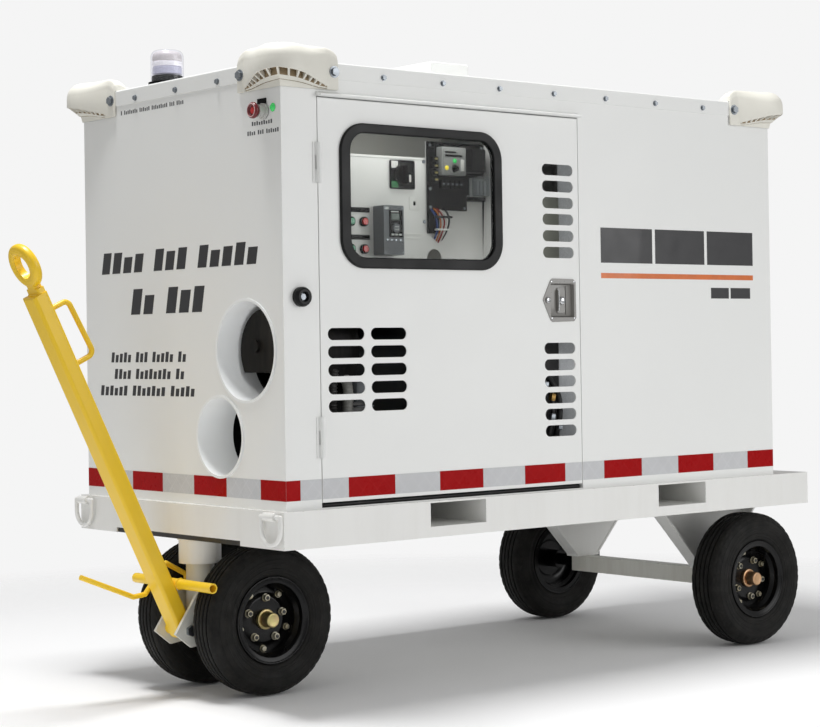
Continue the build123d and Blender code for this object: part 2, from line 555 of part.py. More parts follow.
door = box(DOOR_X0, DOOR_X1, DOOR_Y, DOOR_Y + 22, DOOR_Z0, DOOR_Z1)
door -= box(DOOR_X0 + DOOR_SKIN, DOOR_X1 - DOOR_SKIN, DOOR_Y + DOOR_SKIN, DOOR_Y + 30,
            DOOR_Z0 + DOOR_SKIN, DOOR_Z1 - DOOR_SKIN)
door -= rounded_y(*WINDOW_CUT, 62, DOOR_Y - 5, DOOR_Y + 12)
door_slots = column(27, 1175.5, SLOT_PITCH, 6) + column(27, 680, 45.8, 6)
door_slots += column(-723, 770.5, 45.9, 5) + column(-584, 770.5, 45.9, 5)
door -= slots_y(door_slots, DOOR_Y - 5, DOOR_Y + 12)
door -= box(TRAY_X0 - 1, TRAY_X1 + 1, DOOR_Y - 5, DOOR_Y + 12, TRAY_Z0 - 1, TRAY_Z1 + 1)
# stiffening bars behind the skin
for x0, x1, z0, z1 in ((-120, -112, DOOR_Z0 + 2, DOOR_Z1 - 2), (-470, -462, DOOR_Z0 + 2, 1100),
                       (DOOR_X0 + 2, -112, 1092, 1100)):
    door += box(x0, x1, DOOR_Y + 2, DOOR_Y + 20, z0, z1)
save("door_panel", door)

# window: gasket clamping the skin from both sides, with a groove for the glass
gasket = (rounded_y(*GASKET, 76, DOOR_Y - 8, DOOR_Y - 0.02)
          + rounded_y(*inset(WINDOW_CUT, 0.1), 61.9, DOOR_Y - 1, DOOR_Y + 3)
          + rounded_y(*inset(GASKET, 4), 72, DOOR_Y + 2.52, DOOR_Y + 8))
gasket -= rounded_y(*WINDOW, 48, DOOR_Y - 20, DOOR_Y + 20)
gasket = soften(gasket, [e for e in gasket.edges() if e.center().Y < DOOR_Y - 7.9], (3.4, 3, 2))
gasket -= rounded_y(*inset(WINDOW, -7), 55, DOOR_Y - 3, DOOR_Y + 2)
save("window_gasket", gasket)
save("window_glass", rounded_y(*inset(WINDOW, -6.9), 54.9, DOOR_Y - 2.95, DOOR_Y + 1.95))

# recessed latch
tray_x, tray_z = (TRAY_X0 + TRAY_X1) / 2, (TRAY_Z0 + TRAY_Z1) / 2
LATCH_R = 7


def tray(grow, y0, y1):
    """Dished block, narrower towards its floor at y1."""
    outlines = []
    for y, margin in ((y0, grow), (y1, grow - 4.5)):
        outlines.append(plane_xz(y) * Pos(tray_x, tray_z) * RectangleRounded(
            TRAY_X1 - TRAY_X0 + 2 * margin, TRAY_Z1 - TRAY_Z0 + 2 * margin, 5))
    return loft(outlines)


latch = plate_xz([(-36, 1043), (-33, 1050), (-8, 1097), (0, 1103), (80, 1102), (89, 1093),
                  (90, 994), (82, 984), (0, 982), (-8, 987), (-33, 1036)],
                 DOOR_Y - 2, DOOR_Y - GAP)
latch += tray(0, DOOR_Y - 1.0, DOOR_Y + 17)
latch -= tray(-1.6, DOOR_Y - 2.2, DOOR_Y + 15.4)
latch += rod_y(DOOR_Y - 4.5, DOOR_Y - 1, -19, 1043, 8.5)                   # key barrel
latch -= rod_y(DOOR_Y - 30, DOOR_Y + 30, tray_x, tray_z, LATCH_R + GAP)
latch -= box(-20.2, -17.8, DOOR_Y - 6, DOOR_Y - 3.4, 1037, 1049)           # key slot
save("latch_pan", latch)

grip = rounded_y(tray_x - 15, tray_x + 15, tray_z - 35, tray_z + 35, 7, DOOR_Y + 4, DOOR_Y + 7)
grip += box(tray_x - 15, tray_x - 12, DOOR_Y - 0.5, DOOR_Y + 6, tray_z - 29, tray_z + 29)
grip += (rod_y(DOOR_Y - 1.5, DOOR_Y + 5, tray_x, tray_z, 11)
         + rod_y(DOOR_Y + 5, DOOR_Y + 33, tray_x, tray_z, LATCH_R))
grip += box(tray_x + 2, tray_x + 13, DOOR_Y + 1, DOOR_Y + 5, tray_z - 4, tray_z + 4)
cam = rounded_y(tray_x - 10, tray_x + 91, tray_z - 10, tray_z + 10, 9.5, DOOR_Y + 26, DOOR_Y + 31)
save("latch_handle", grip + cam)

# hinges: the post leaf has the outer knuckles and the pin, the door leaf the middle knuckle
HINGE_X, HINGE_Y = -807.0, DOOR_Y - 7.6
HINGE = (HINGE_X, HINGE_Y)
KNUCKLE_R, HINGE_PIN_R = 7, 3
LEAF_Y = (DOOR_Y - 2.5, DOOR_Y - GAP)
post_leaves, door_leaves = [], []
for z0, z1 in ((641.0, 745.0), (1336.0, 1439.0)):
    third = (z1 - z0) / 3
    low, high = z0 + third, z1 - third
    leaf = box(-822, HINGE_X, *LEAF_Y, z0, z1)
    for knuckle in ((z0, low - 0.2), (high + 0.2, z1)):
        leaf += rod_z(*knuckle, *HINGE, KNUCKLE_R)
        leaf += box(HINGE_X - 8, HINGE_X - 1, DOOR_Y - 6, DOOR_Y - 0.5, *knuckle)
    leaf -= box(HINGE_X - 9, HINGE_X + 12, DOOR_Y - 16, DOOR_Y - 0.02, low - 0.2, high + 0.2)
    leaf = leaf + rod_z(z0 + 1, z1 - 1, *HINGE, HINGE_PIN_R)
    post_leaves.append(leaf)
    leaf = (box(HINGE_X + 1, -790, *LEAF_Y, low, high) + rod_z(low, high, *HINGE, KNUCKLE_R)
            + box(HINGE_X, HINGE_X + 8, DOOR_Y - 6, DOOR_Y - 0.5, low, high))
    leaf -= rod_z(z0 - 5, z1 + 5, *HINGE, HINGE_PIN_R + GAP)
    door_leaves.append(leaf)
save("hinge_post_leaves", post_leaves)
save("hinge_door_leaves", door_leaves)

stop = turned((0, GAP), (25, GAP), (25, 12), (22, 18), (19, 19.5), (13, 19.5), (11, 16),
              (11, 7), (0, 7))
stop_screw = rod_z(7.05, 13, 0, 0, 7.5)
save("door_stop", [Pos(-866, DOOR_Y, 1048) * Rot(90, 0, 0) * item for item in (stop, stop_screw)])

# ------------------------------ control panel -------------------------------
PANEL_Y = -328.0                               # front face of the panel
BUTTONS = {"start_button_a": (-589.0, 1254.0), "stop_button_a": (-545.0, 1254.0),
           "start_button_b": (-589.0, 1181.0), "stop_button_b": (-545.0, 1181.0)}
BUTTON_R = 9
KNOB = (-411.0, 1385.0)
KNOB_R = 5

panel = box(-720, -325, PANEL_Y, -150, 1090, 1434) - box(-718, -327, PANEL_Y + 2, -152, 1092, 1432)
panel += box(-325, -119, PANEL_Y, PANEL_Y + 2, 1160, 1480)
for x1, z0, z1 in ((-121, 1338, 1480), (-186, 1293, 1339), (-287, 1228, 1294)):  # stepped cover
    panel += box(-324, x1, PANEL_Y - 9, PANEL_Y + 1, z0, z1)
panel += box(-121, -119, PANEL_Y - 110, -150, 1130, 1480)
panel += box(-720, -718, -300, -298, 1434, 1434.5)
panel += box(-722, -119, -152, -150, 1090, 1600)                           # back sheet
for centre in BUTTONS.values():
    panel += rod_y(PANEL_Y - 7, PANEL_Y + 1, *centre, 13)
for centre in BUTTONS.values():
    panel -= rod_y(PANEL_Y - 20, PANEL_Y + 20, *centre, BUTTON_R + GAP)
panel -= rod_y(PANEL_Y - 20, PANEL_Y + 20, *KNOB, 6)
panel -= rod_y(PANEL_Y - 5, PANEL_Y + 5, -299, 1160, 26)
save("control_panel", panel)

for name, centre in BUTTONS.items():
    button = rod_y(PANEL_Y - 12, PANEL_Y + 6, *centre, BUTTON_R)
    button = soften(button, [e for e in button.edges() if e.center().Y < PANEL_Y - 11.9],
                    (1.5, 1))
    save(name, button)

knob_x, knob_z = KNOB
plate = rounded_y(knob_x - 42, knob_x + 42, knob_z - 39, knob_z + 39, 5,
                  PANEL_Y - 6, PANEL_Y - GAP)
plate += rod_y(PANEL_Y - 9, PANEL_Y - 5, *KNOB, 30)
plate -= rod_y(PANEL_Y - 20, PANEL_Y + 20, *KNOB, KNOB_R + GAP)
save("disconnect_plate", plate)
knob = (rod_y(PANEL_Y - 17, PANEL_Y - 9.2, *KNOB, 26)
        + rounded_y(knob_x - 8, knob_x + 8, knob_z - 25, knob_z + 25, 6,
                    PANEL_Y - 36, PANEL_Y - 16)
        + rod_y(PANEL_Y - 10, PANEL_Y + 12, *KNOB, KNOB_R))
save("disconnect_handle", knob)

# drive: block with four grooves, a raised pad and a recess in the pad
drive = rounded_y(-511, -442, 1165, 1297, 3, PANEL_Y - 45, PANEL_Y - GAP)
for i in range(4):
    drive -= box(-506, -447, PANEL_Y - 47, PANEL_Y - 43, 1172 + i * 8, 1175.5 + i * 8)
drive += box(-492, -449, PANEL_Y - 48, PANEL_Y - 44, 1212, 1284)
drive -= box(-487, -458, PANEL_Y - 50, PANEL_Y - 47, 1257, 1276)
save("vfd_drive", drive)

controller = rounded_y(-294, -207, 1388, 1465, 4, PANEL_Y - 32, PANEL_Y - 9.05)
controller += rounded_y(-289, -212, 1393, 1460, 3, PANEL_Y - 34, PANEL_Y - 31)
controller += rod_y(PANEL_Y - 44, PANEL_Y - 33, -250, 1406, 7.5)
save("engine_controller", controller)


# ----------------------------- power machinery ------------------------------
def on_shaft(x0, x1, radius):
    """Cylinder on the crankshaft axis."""
    return rod_x(x0, x1, 0, SHAFT_Z, radius)


# generator: hollow drum, two feet and a terminal box on top
generator = on_shaft(-560, -180, 190) - on_shaft(-548, -192, 165)
generator -= on_shaft(-600, -100, SHAFT_R + GAP)
for side in (-1, 1):
    foot = box(-520, -220, *span(side, 70, 150), DECK_Z, SHAFT_Z - 140)
    generator += foot - on_shaft(-600, -100, 180)
generator += box(-500, -240, -180, 180, 985, 1060) - on_shaft(-600, -100, 180)
save("generator_housing", generator)

# engine: block, sump, head and cover
engine = (box(-170, 430, -165, 165, 640, 1010) + box(-120, 380, -120, 120, 560, 645)
          + box(-150, 410, -130, 130, 1005, 1090) + box(-130, 390, -70, 90, 1085, 1125))
for x in (-150, 330):                                                      # feet
    for side in (-1, 1):
        engine += box(x, x + 80, *span(side, 120, 230), 650, 670)
        engine += box(x, x + 80, *span(side, 180, 230), DECK_Z, 655)
for i in range(4):                                                         # ports and manifold
    engine += rod_y(-240, -120, -90 + i * 140, 1040, 22)
engine += rod_x(-60, 330, -230, 1040, 28)
# upright canister on the door side, lying one on the far side
engine += rod_z(700, 830, 330, -205, 45) + box(300, 360, -215, -150, 770, 860)
engine += rod_x(200, 360, 225, 760, 60) + box(230, 330, 150, 235, 730, 790)
engine -= box(-150, 410, -145, 145, 660, 990)                              # open crankcase
engine -= on_shaft(-300, 600, SHAFT_R + GAP)
save("engine_block", engine)

# crankshaft with rotor, four throws and a grooved pulley
shaft = on_shaft(-575, 660, SHAFT_R) + on_shaft(-535, -205, 150)
for x in (-120, 20, 160, 300):
    shaft += (on_shaft(x, x + 60, 60) - on_shaft(x + 15, x + 45, 200)
              + rod_x(x + 14, x + 46, 28, SHAFT_Z, 25))
shaft += on_shaft(440, 480, 95) - on_shaft(455, 465, 200) + on_shaft(454, 466, 85)
save("crankshaft", shaft)

BLADES = 7
fan = on_shaft(662, 720, 55)
for i in range(BLADES):
    fan += (Pos(691, 0, SHAFT_Z) * Rot(360 / BLADES * i, 0, 0) * Pos(0, 0, 140)
            * Rot(0, 0, 32) * Box(5, 62, 190))
fan -= on_shaft(600, 670, 26)
save("cooling_fan", fan)

# radiator: grooved core, then header tank, two feet and filler
radiator = box(780, 850, -330, 330, 580, 1340)
for i in range(12):
    radiator -= box(775, 792, -300, 300, 640 + i * 55, 680 + i * 55)
radiator += (box(770, 860, -330, 330, 1335, 1400) + box(790, 840, -330, -280, DECK_Z, 590)
             + box(790, 840, 280, 330, DECK_Z, 590) + rod_z(1395, 1425, 815, -200, 30))
save("radiator", radiator)

tank = box(-620, 180, 260, 455, DECK_Z, 760)
tank = soften(tank, tank.edges().filter_by(Axis.X), (25, 15))
tank += rod_z(755, 800, -500, 360, 45)
tank -= box(-640, -540, 250, 300, 500, 560)
save("fuel_tank", tank)

battery = (box(470, 690, -430, -260, DECK_Z, 700) + box(475, 685, -425, -265, 699, 712)
           + rod_z(711, 728, 500, -290, 9) + rod_z(711, 728, 660, -290, 9))
save("battery", battery)

# blower behind the two ducts: scroll, chute, two feet and the motor inside the big duct
SCROLL_X = TOW_X + DUCT_DEEP
FAN_SHAFT_R = 12
duct_y, duct_z = BIG_DUCT
scroll = rod_x(SCROLL_X + 0.2, SCROLL_X + 150, *BIG_DUCT, 138)
scroll = scroll - rod_x(SCROLL_X + 4, SCROLL_X + 146, *BIG_DUCT, 134)
chute = (box(SCROLL_X + 0.2, SCROLL_X + 150, -292, -86, 588, 800)
         - box(SCROLL_X + 4, SCROLL_X + 146, -288, -90, 592, 830))
chute -= rod_x(SCROLL_X - 1, SCROLL_X + 151, *BIG_DUCT, 137)
scroll = scroll + chute
scroll -= rod_x(SCROLL_X - 5, SCROLL_X + 30, *SMALL_DUCT, 100)
scroll -= rod_x(SCROLL_X - 5, SCROLL_X + 10, *BIG_DUCT, 122)
# strap across the inlet
scroll += box(SCROLL_X + 0.2, SCROLL_X + 4, duct_y - 130, duct_y + 130, duct_z - 8, duct_z + 8)
scroll += (box(SCROLL_X + 100, SCROLL_X + 150, -250, -230, DECK_Z, 600)
           + box(SCROLL_X + 100, SCROLL_X + 150, -140, -120, DECK_Z, 600))
motor = rod_x(-860, SCROLL_X + 0.4, *BIG_DUCT, 108) - box(-900, SCROLL_X + 5, -500, -100, 780, 858)
motor = motor + rod_x(-868, -858, -275, 926, 17)
scroll += motor
scroll -= rod_x(-845, SCROLL_X + 20, *BIG_DUCT, FAN_SHAFT_R + GAP)
save("blower_housing", scroll)

# blower wheel: shaft, back disc and 18 vanes
blower = (rod_x(-840, SCROLL_X + 100, *BIG_DUCT, FAN_SHAFT_R)
          + rod_x(SCROLL_X + 95, SCROLL_X + 100, *BIG_DUCT, 118))
for i in range(18):
    blower += (Pos(SCROLL_X + 58, duct_y, duct_z) * Rot(20 * i, 0, 0) * Pos(0, 0, 105)
               * Box(76, 4, 24))
save("blower_wheel", blower)

# exhaust: pipe from the manifold, silencer and stack into the roof box
exhaust = (bent([(362, -230, 1040), (450, -230, 1100), (450, -120, 1290)], 26)
           + rod_x(-60, 470, -120, 1300, 85)
           + bent([(-30, -120, 1300), (-79, -120, 1420), (-79, -60, 1500), (-79, -60, 1690)], 30))
save("exhaust_pipe", exhaust)
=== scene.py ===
"""A towed generator and blower cart: a white enclosure on a four-wheeled chassis.

Metres, +Z up, standing on z = 0. The tow end faces -X and the side with the door faces -Y.
The CAD pieces get their finishes here, and finer meshes replace or dress some of them.
"""
import bpy, bmesh, math
from mathutils import Vector, Matrix


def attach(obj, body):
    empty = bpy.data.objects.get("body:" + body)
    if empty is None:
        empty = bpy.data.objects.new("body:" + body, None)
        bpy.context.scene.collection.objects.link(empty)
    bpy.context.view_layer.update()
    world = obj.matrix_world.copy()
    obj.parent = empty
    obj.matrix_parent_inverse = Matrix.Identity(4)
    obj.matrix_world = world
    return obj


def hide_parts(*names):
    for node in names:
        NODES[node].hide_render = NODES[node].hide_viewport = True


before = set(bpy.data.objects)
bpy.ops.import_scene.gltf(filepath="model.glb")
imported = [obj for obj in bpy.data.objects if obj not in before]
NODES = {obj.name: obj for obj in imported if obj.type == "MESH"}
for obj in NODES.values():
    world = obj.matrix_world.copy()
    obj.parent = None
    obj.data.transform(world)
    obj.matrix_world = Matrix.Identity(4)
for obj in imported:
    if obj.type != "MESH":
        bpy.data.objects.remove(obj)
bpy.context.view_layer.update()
scene = bpy.context.scene
coll = scene.collection

MM = 0.001
HALF_LENGTH = 0.919         # enclosure, along x
HALF_WIDTH = 0.478          # enclosure, along y
LIFT = 0.00001              # gap under anything stuck on a wall
AXLE_Z = 0.2
FRONT_X, FRONT_Y = -0.753, 0.136
REAR_X, REAR_Y = 0.835, 0.434
# x, y, angle of a rim bolt on the CAD wheel, angle of the first lug nut (degrees)
WHEELS = {
    "front_door": (FRONT_X, -FRONT_Y, 4, 87.7),
    "front_far": (FRONT_X, FRONT_Y, 40, 40),
    "rear_door": (REAR_X, -REAR_Y, 28, 64),
    "rear_far": (REAR_X, REAR_Y, 11, 11),
}
UP = (0, 0, 1)
TO_DOOR_SIDE = (0, -1, 0)
PANEL_Y = -0.328            # face of the control panel
DRIVE_Y = PANEL_Y - 0.048   # face of the drive keypad
CONTROLLER_Y = PANEL_Y - 0.034
KNOB_X, KNOB_Z = -0.411, 1.385      # disconnect knob
BEACON = (-0.860, 0.130, 0)


# ============================ shader builder ===============================
def linear(rgb):
    """sRGB 0..255 to linear RGBA."""
    parts = [v / 255.0 for v in rgb]
    return tuple(v / 12.92 if v <= 0.04045 else ((v + 0.055) / 1.055) ** 2.4
                 for v in parts) + (1.0,)


def shade(color, factor, add=0):
    return tuple(min(1, v * factor + add) for v in color[:3]) + (1,)


class Shader:
    """A small builder for node materials. Values may be numbers, tuples or sockets."""

    def __init__(self, name):
        self.material = bpy.data.materials.new("m_" + name)
        self.material.use_nodes = True
        self.tree = self.material.node_tree
        self.tree.nodes.clear()
        self.output = self.node("ShaderNodeOutputMaterial")
        self.position = self.node("ShaderNodeTexCoord").outputs["Object"]

    def feed(self, socket, value):
        if isinstance(value, (int, float, tuple)):
            socket.default_value = value
        else:
            self.tree.links.new(value, socket)

    def node(self, kind, inputs=(), **settings):
        made = self.tree.nodes.new(kind)
        for key, value in settings.items():
            setattr(made, key, value)
        for key, value in dict(inputs).items():
            self.feed(made.inputs[key], value)
        return made

    def noise(self, scale, detail=4, roughness=0.55, distortion=0.0, vector=None):
        return self.node("ShaderNodeTexNoise", {
            "Scale": scale, "Detail": detail, "Roughness": roughness,
            "Distortion": distortion, "Vector": vector or self.position}).outputs["Fac"]

    def voronoi(self, scale):
        return self.node("ShaderNodeTexVoronoi", {
            "Scale": scale, "Vector": self.position}).outputs["Distance"]

    def remap(self, value, span, to=(0, 1)):
        """Clamped map of one range on to another."""
        return self.node("ShaderNodeMapRange", {
            "From Min": span[0], "From Max": span[1], "To Min": to[0], "To Max": to[1],
            "Value": value}).outputs["Result"]

    def math(self, operation, *values):
        return self.node("ShaderNodeMath", enumerate(values), operation=operation).outputs[0]

    def times(self, a, b):
        return self.math("MULTIPLY", a, b)

    def mix(self, factor, a, b):
        return self.node("ShaderNodeMix", {0: factor, 6: a, 7: b}, data_type="RGBA").outputs[2]

    def axes(self):
        return self.node("ShaderNodeSeparateXYZ", {0: self.position}).outputs

    def bump(self, height, strength, distance, below=None):
        inputs = {"Strength": strength, "Distance": distance, "Height": height}
        if below is not None:
            inputs["Normal"] = below
        return self.node("ShaderNodeBump", inputs).outputs["Normal"]

    def edges(self, radius):
        """About 1 on sharp outside edges, 0 on flats."""
        rounded = self.node("ShaderNodeBevel", {"Radius": radius}, samples=4).outputs[0]
        normal = self.node("ShaderNodeNewGeometry").outputs["Normal"]
        dot = self.node("ShaderNodeVectorMath", {0: rounded, 1: normal}, operation="DOT_PRODUCT")
        return self.remap(dot.outputs["Value"], (0.985, 0.86))

    def principled(self, **inputs):
        named = {key.replace("_", " "): value for key, value in inputs.items()}
        return self.node("ShaderNodeBsdfPrincipled", named).outputs[0]

    def surface(self, shader):
        self.feed(self.output.inputs["Surface"], shader)
        return self.material

    def finish(self, **inputs):
        return self.surface(self.principled(**inputs))

    def mix_shader(self, factor, a, b):
        return self.node("ShaderNodeMixShader", {0: factor, 1: a, 2: b}).outputs[0]


# ============================ materials ====================================
def paint(name, rgb, roughness, vary, grime, high, peel, coat, chips=None, specular=0.5):
    """Sprayed paint: orange peel, faint blotches, dust low down, chips on edges."""
    mat = Shader(name)
    base = linear(rgb)
    blotch = mat.remap(mat.noise(2.1, detail=5, roughness=0.6), (0.35, 0.7))
    color = mat.mix(blotch, shade(base, 1 - vary * 2.2), base)
    light = mat.remap(mat.noise(17), (0.45, 0.8), to=(0, vary * 2))
    color = mat.mix(light, color, shade(base, 1.05))
    # road film in upright streaks, heavier near the ground
    stretched = mat.node("ShaderNodeMapping", {"Scale": (6, 6, 0.7), "Vector": mat.position})
    streak = mat.noise(3.0, detail=5, roughness=0.65, distortion=0.3,
                       vector=stretched.outputs["Vector"])
    height = mat.remap(mat.axes()[2], (0.05, 1.0), to=(1.0, high))
    film = mat.times(mat.times(mat.remap(streak, (0.42, 0.78)), height), grime)
    dirt = (168, 158, 140) if sum(rgb) > 300 else (92, 86, 76)
    color = mat.mix(film, color, linear(dirt))
    speck = mat.remap(mat.voronoi(240), (0.06, 0.03), to=(0, 0.35))
    speck = mat.times(speck, mat.remap(mat.noise(9), (0.62, 0.7)))
    color = mat.mix(speck, color, shade(base, 0.72))
    sheen = mat.remap(mat.noise(6, detail=5), (0.3, 0.75), to=(roughness * 0.82, roughness * 1.25))
    normal = mat.bump(mat.noise(420, detail=3, roughness=0.5), peel, distance=0.0006)
    normal = mat.bump(mat.noise(24, detail=3, roughness=0.5), peel * 0.8, distance=0.002,
                      below=normal)
    if chips:
        patches = mat.remap(mat.noise(70, detail=5, roughness=0.7), (0.5, 0.62))
        chip = mat.times(mat.edges(radius=0.0012), patches)
        color = mat.mix(chip, color, linear(chips))
        sheen = mat.math("ADD", sheen, mat.times(chip, 0.2))
    return mat.finish(Base_Color=color, Roughness=sheen, Normal=normal, Coat_Weight=coat,
                      Coat_Roughness=0.12, Specular_IOR_Level=specular)


def plastic(name, rgb, roughness, grain, grain_scale, vary, grime, coat=0.0, specular=0.5):
    """Moulded plastic or rubber: fine grain, uneven sheen, handling marks."""
    mat = Shader(name)
    base = linear(rgb)
    color = mat.mix(mat.remap(mat.noise(5, detail=5), (0.3, 0.75)),
                    shade(base, 1 - vary * 2), base)
    marks = mat.times(mat.remap(mat.noise(14, detail=6, roughness=0.7), (0.5, 0.8)), grime)
    dirt = (150, 140, 118) if sum(rgb) > 250 else (70, 66, 60)
    color = mat.mix(marks, color, linear(dirt))
    sheen = mat.remap(mat.noise(11), (0.3, 0.7), to=(roughness * 0.85, min(1, roughness * 1.2)))
    normal = mat.bump(mat.noise(grain_scale, detail=2), grain, distance=0.0004)
    normal = mat.bump(mat.noise(38, detail=3), grain * 0.35, distance=0.0015, below=normal)
    return mat.finish(Base_Color=color, Roughness=sheen, Normal=normal, Coat_Weight=coat,
                      Specular_IOR_Level=specular)


def metal(name, rgb, roughness, vary, tint=None, grime=0.12):
    """Bare or plated metal with mottling and faint tarnish."""
    mat = Shader(name)
    base = linear(rgb)
    color = mat.mix(mat.remap(mat.noise(60, detail=5, roughness=0.65), (0.3, 0.72)),
                    shade(base, 1 - vary), base)
    if tint:
        cloud = mat.noise(35, detail=3, roughness=0.6, distortion=1.2)
        color = mat.mix(mat.remap(cloud, (0.42, 0.66), to=(0, 0.85)), color, linear(tint))
    tarnish = mat.remap(mat.noise(26, detail=6, roughness=0.75), (0.52, 0.8))
    color = mat.mix(mat.times(tarnish, grime), color, linear((88, 80, 70)))
    normal = mat.bump(mat.noise(520, detail=3), strength=0.12, distance=0.0005)
    sheen = mat.remap(mat.noise(45), (0.3, 0.7), to=(roughness * 0.8, roughness * 1.3))
    return mat.finish(Base_Color=color, Roughness=sheen, Metallic=1.0, Normal=normal)


def tape(name, rgb):
    """Prismatic reflective tape: small diamond cells under a clear film."""
    roughness = 0.28
    mat = Shader(name)
    base = linear(rgb)
    x, y, z = mat.axes()
    run = mat.math("ADD", x, y)

    def lines(value, width):
        wave = mat.math("ABSOLUTE", mat.math("SINE", value))
        return mat.remap(wave, (0.0, width), to=(1, 0))

    cell_run, cell_rise = mat.times(run, 480.0), mat.times(z, 480.0)
    cell = mat.math("MAXIMUM", lines(mat.math("ADD", cell_run, cell_rise), width=0.22),
                    lines(mat.math("SUBTRACT", cell_run, cell_rise), width=0.22))
    # wider sealed seams between fields of cells
    seam = mat.math("MAXIMUM", lines(mat.times(mat.math("ADD", run, z), 68.0), width=0.09),
                    lines(mat.times(mat.math("SUBTRACT", run, z), 68.0), width=0.09))
    color = mat.mix(mat.times(cell, 0.32), base, shade(base, 1.7, add=0.02))
    color = mat.mix(mat.times(seam, 0.35), color, shade(base, 1.5, add=0.03))
    worn = mat.remap(mat.noise(7, detail=5, roughness=0.6), (0.45, 0.85), to=(0, 0.25))
    color = mat.mix(worn, color, shade(base, 0.7))
    sheen = mat.remap(mat.noise(25), (0.3, 0.7), to=(roughness * 0.8, roughness * 1.3))
    return mat.finish(Base_Color=color, Roughness=sheen,
                      Normal=mat.bump(cell, strength=0.10, distance=0.0003),
                      Coat_Weight=0.03, Coat_Roughness=0.10, Specular_IOR_Level=0.08)


def tyre_rubber(name):
    mat = Shader(name)
    color = mat.mix(mat.remap(mat.noise(8, detail=5), (0.3, 0.7)),
                    linear((18, 18, 17)), linear((20, 19, 18)))
    dust = mat.remap(mat.noise(26, detail=6, roughness=0.72), (0.42, 0.75))
    color = mat.mix(mat.times(dust, 0.22), color, linear((58, 55, 48)))
    scuff = mat.remap(mat.voronoi(140), (0.10, 0.04), to=(0, 0.25))
    color = mat.mix(scuff, color, linear((58, 56, 52)))
    normal = mat.bump(mat.noise(900, detail=2), strength=0.25, distance=0.0004)
    normal = mat.bump(mat.noise(70, roughness=0.7), strength=0.22, distance=0.0012, below=normal)
    sheen = mat.remap(mat.noise(20), (0.3, 0.7), to=(0.55, 0.8))
    return mat.finish(Base_Color=color, Roughness=sheen, Normal=normal, Specular_IOR_Level=0.22)


def clear(name, rgb, clarity, reflection, roughness, ripple, smear):
    """Clear glazing: see-through, with surface reflection, smudges and a faint tint."""
    mat = Shader(name)
    see_through = mat.node("ShaderNodeBsdfTransparent", {0: linear(rgb)}).outputs[0]
    haze = mat.node("ShaderNodeBsdfDiffuse", {0: linear((235, 238, 240))}).outputs[0]
    normal = mat.bump(mat.noise(6, detail=2), 0.03 + ripple, distance=0.004)
    gloss = mat.node("ShaderNodeBsdfGlossy", {"Roughness": roughness, "Normal": normal})
    fresnel = mat.node("ShaderNodeFresnel", {0: 1.5}).outputs[0]
    smudge = mat.remap(mat.noise(7, detail=6, roughness=0.7, distortion=0.5), (0.45, 0.8),
                       to=(0.0, smear))
    body = mat.mix_shader(mat.math("ADD", smudge, 1.0 - clarity), see_through, haze)
    # only the face towards the viewer reflects
    backfacing = mat.node("ShaderNodeNewGeometry").outputs["Backfacing"]
    front = mat.math("SUBTRACT", 1.0, backfacing)
    mirror = mat.times(mat.times(fresnel, reflection), front)
    return mat.surface(mat.mix_shader(mirror, body, gloss.outputs[0]))


def glow(name, rgb, strength):
    """Softly lit, faintly speckled surface."""
    mat = Shader(name)
    base = linear(rgb)
    color = mat.mix(mat.remap(mat.noise(300, detail=3), (0.3, 0.7)), shade(base, 0.8), base)
    normal = mat.bump(mat.voronoi(900), strength=0.1, distance=0.0003)
    return mat.finish(Base_Color=color, Roughness=0.25, Normal=normal, Emission_Color=color,
                      Emission_Strength=strength)


def decal(name, rgb, roughness):
    """Cut vinyl: even colour, tiny wrinkles and bubbles."""
    mat = Shader(name)
    base = linear(rgb)
    color = mat.mix(mat.remap(mat.noise(30), (0.35, 0.7)), shade(base, 0.86), base)
    bubbles = mat.remap(mat.noise(210, detail=5, roughness=0.7), (0.68, 0.75), to=(0, 0.35))
    color = mat.mix(bubbles, color, linear((150, 150, 148)))
    sheen = mat.remap(mat.noise(18), (0.3, 0.7), to=(roughness * 0.8, roughness * 1.3))
    normal = mat.bump(mat.noise(160, detail=3), strength=0.08, distance=0.0004)
    return mat.finish(Base_Color=color, Roughness=sheen, Normal=normal, Coat_Weight=0.2)


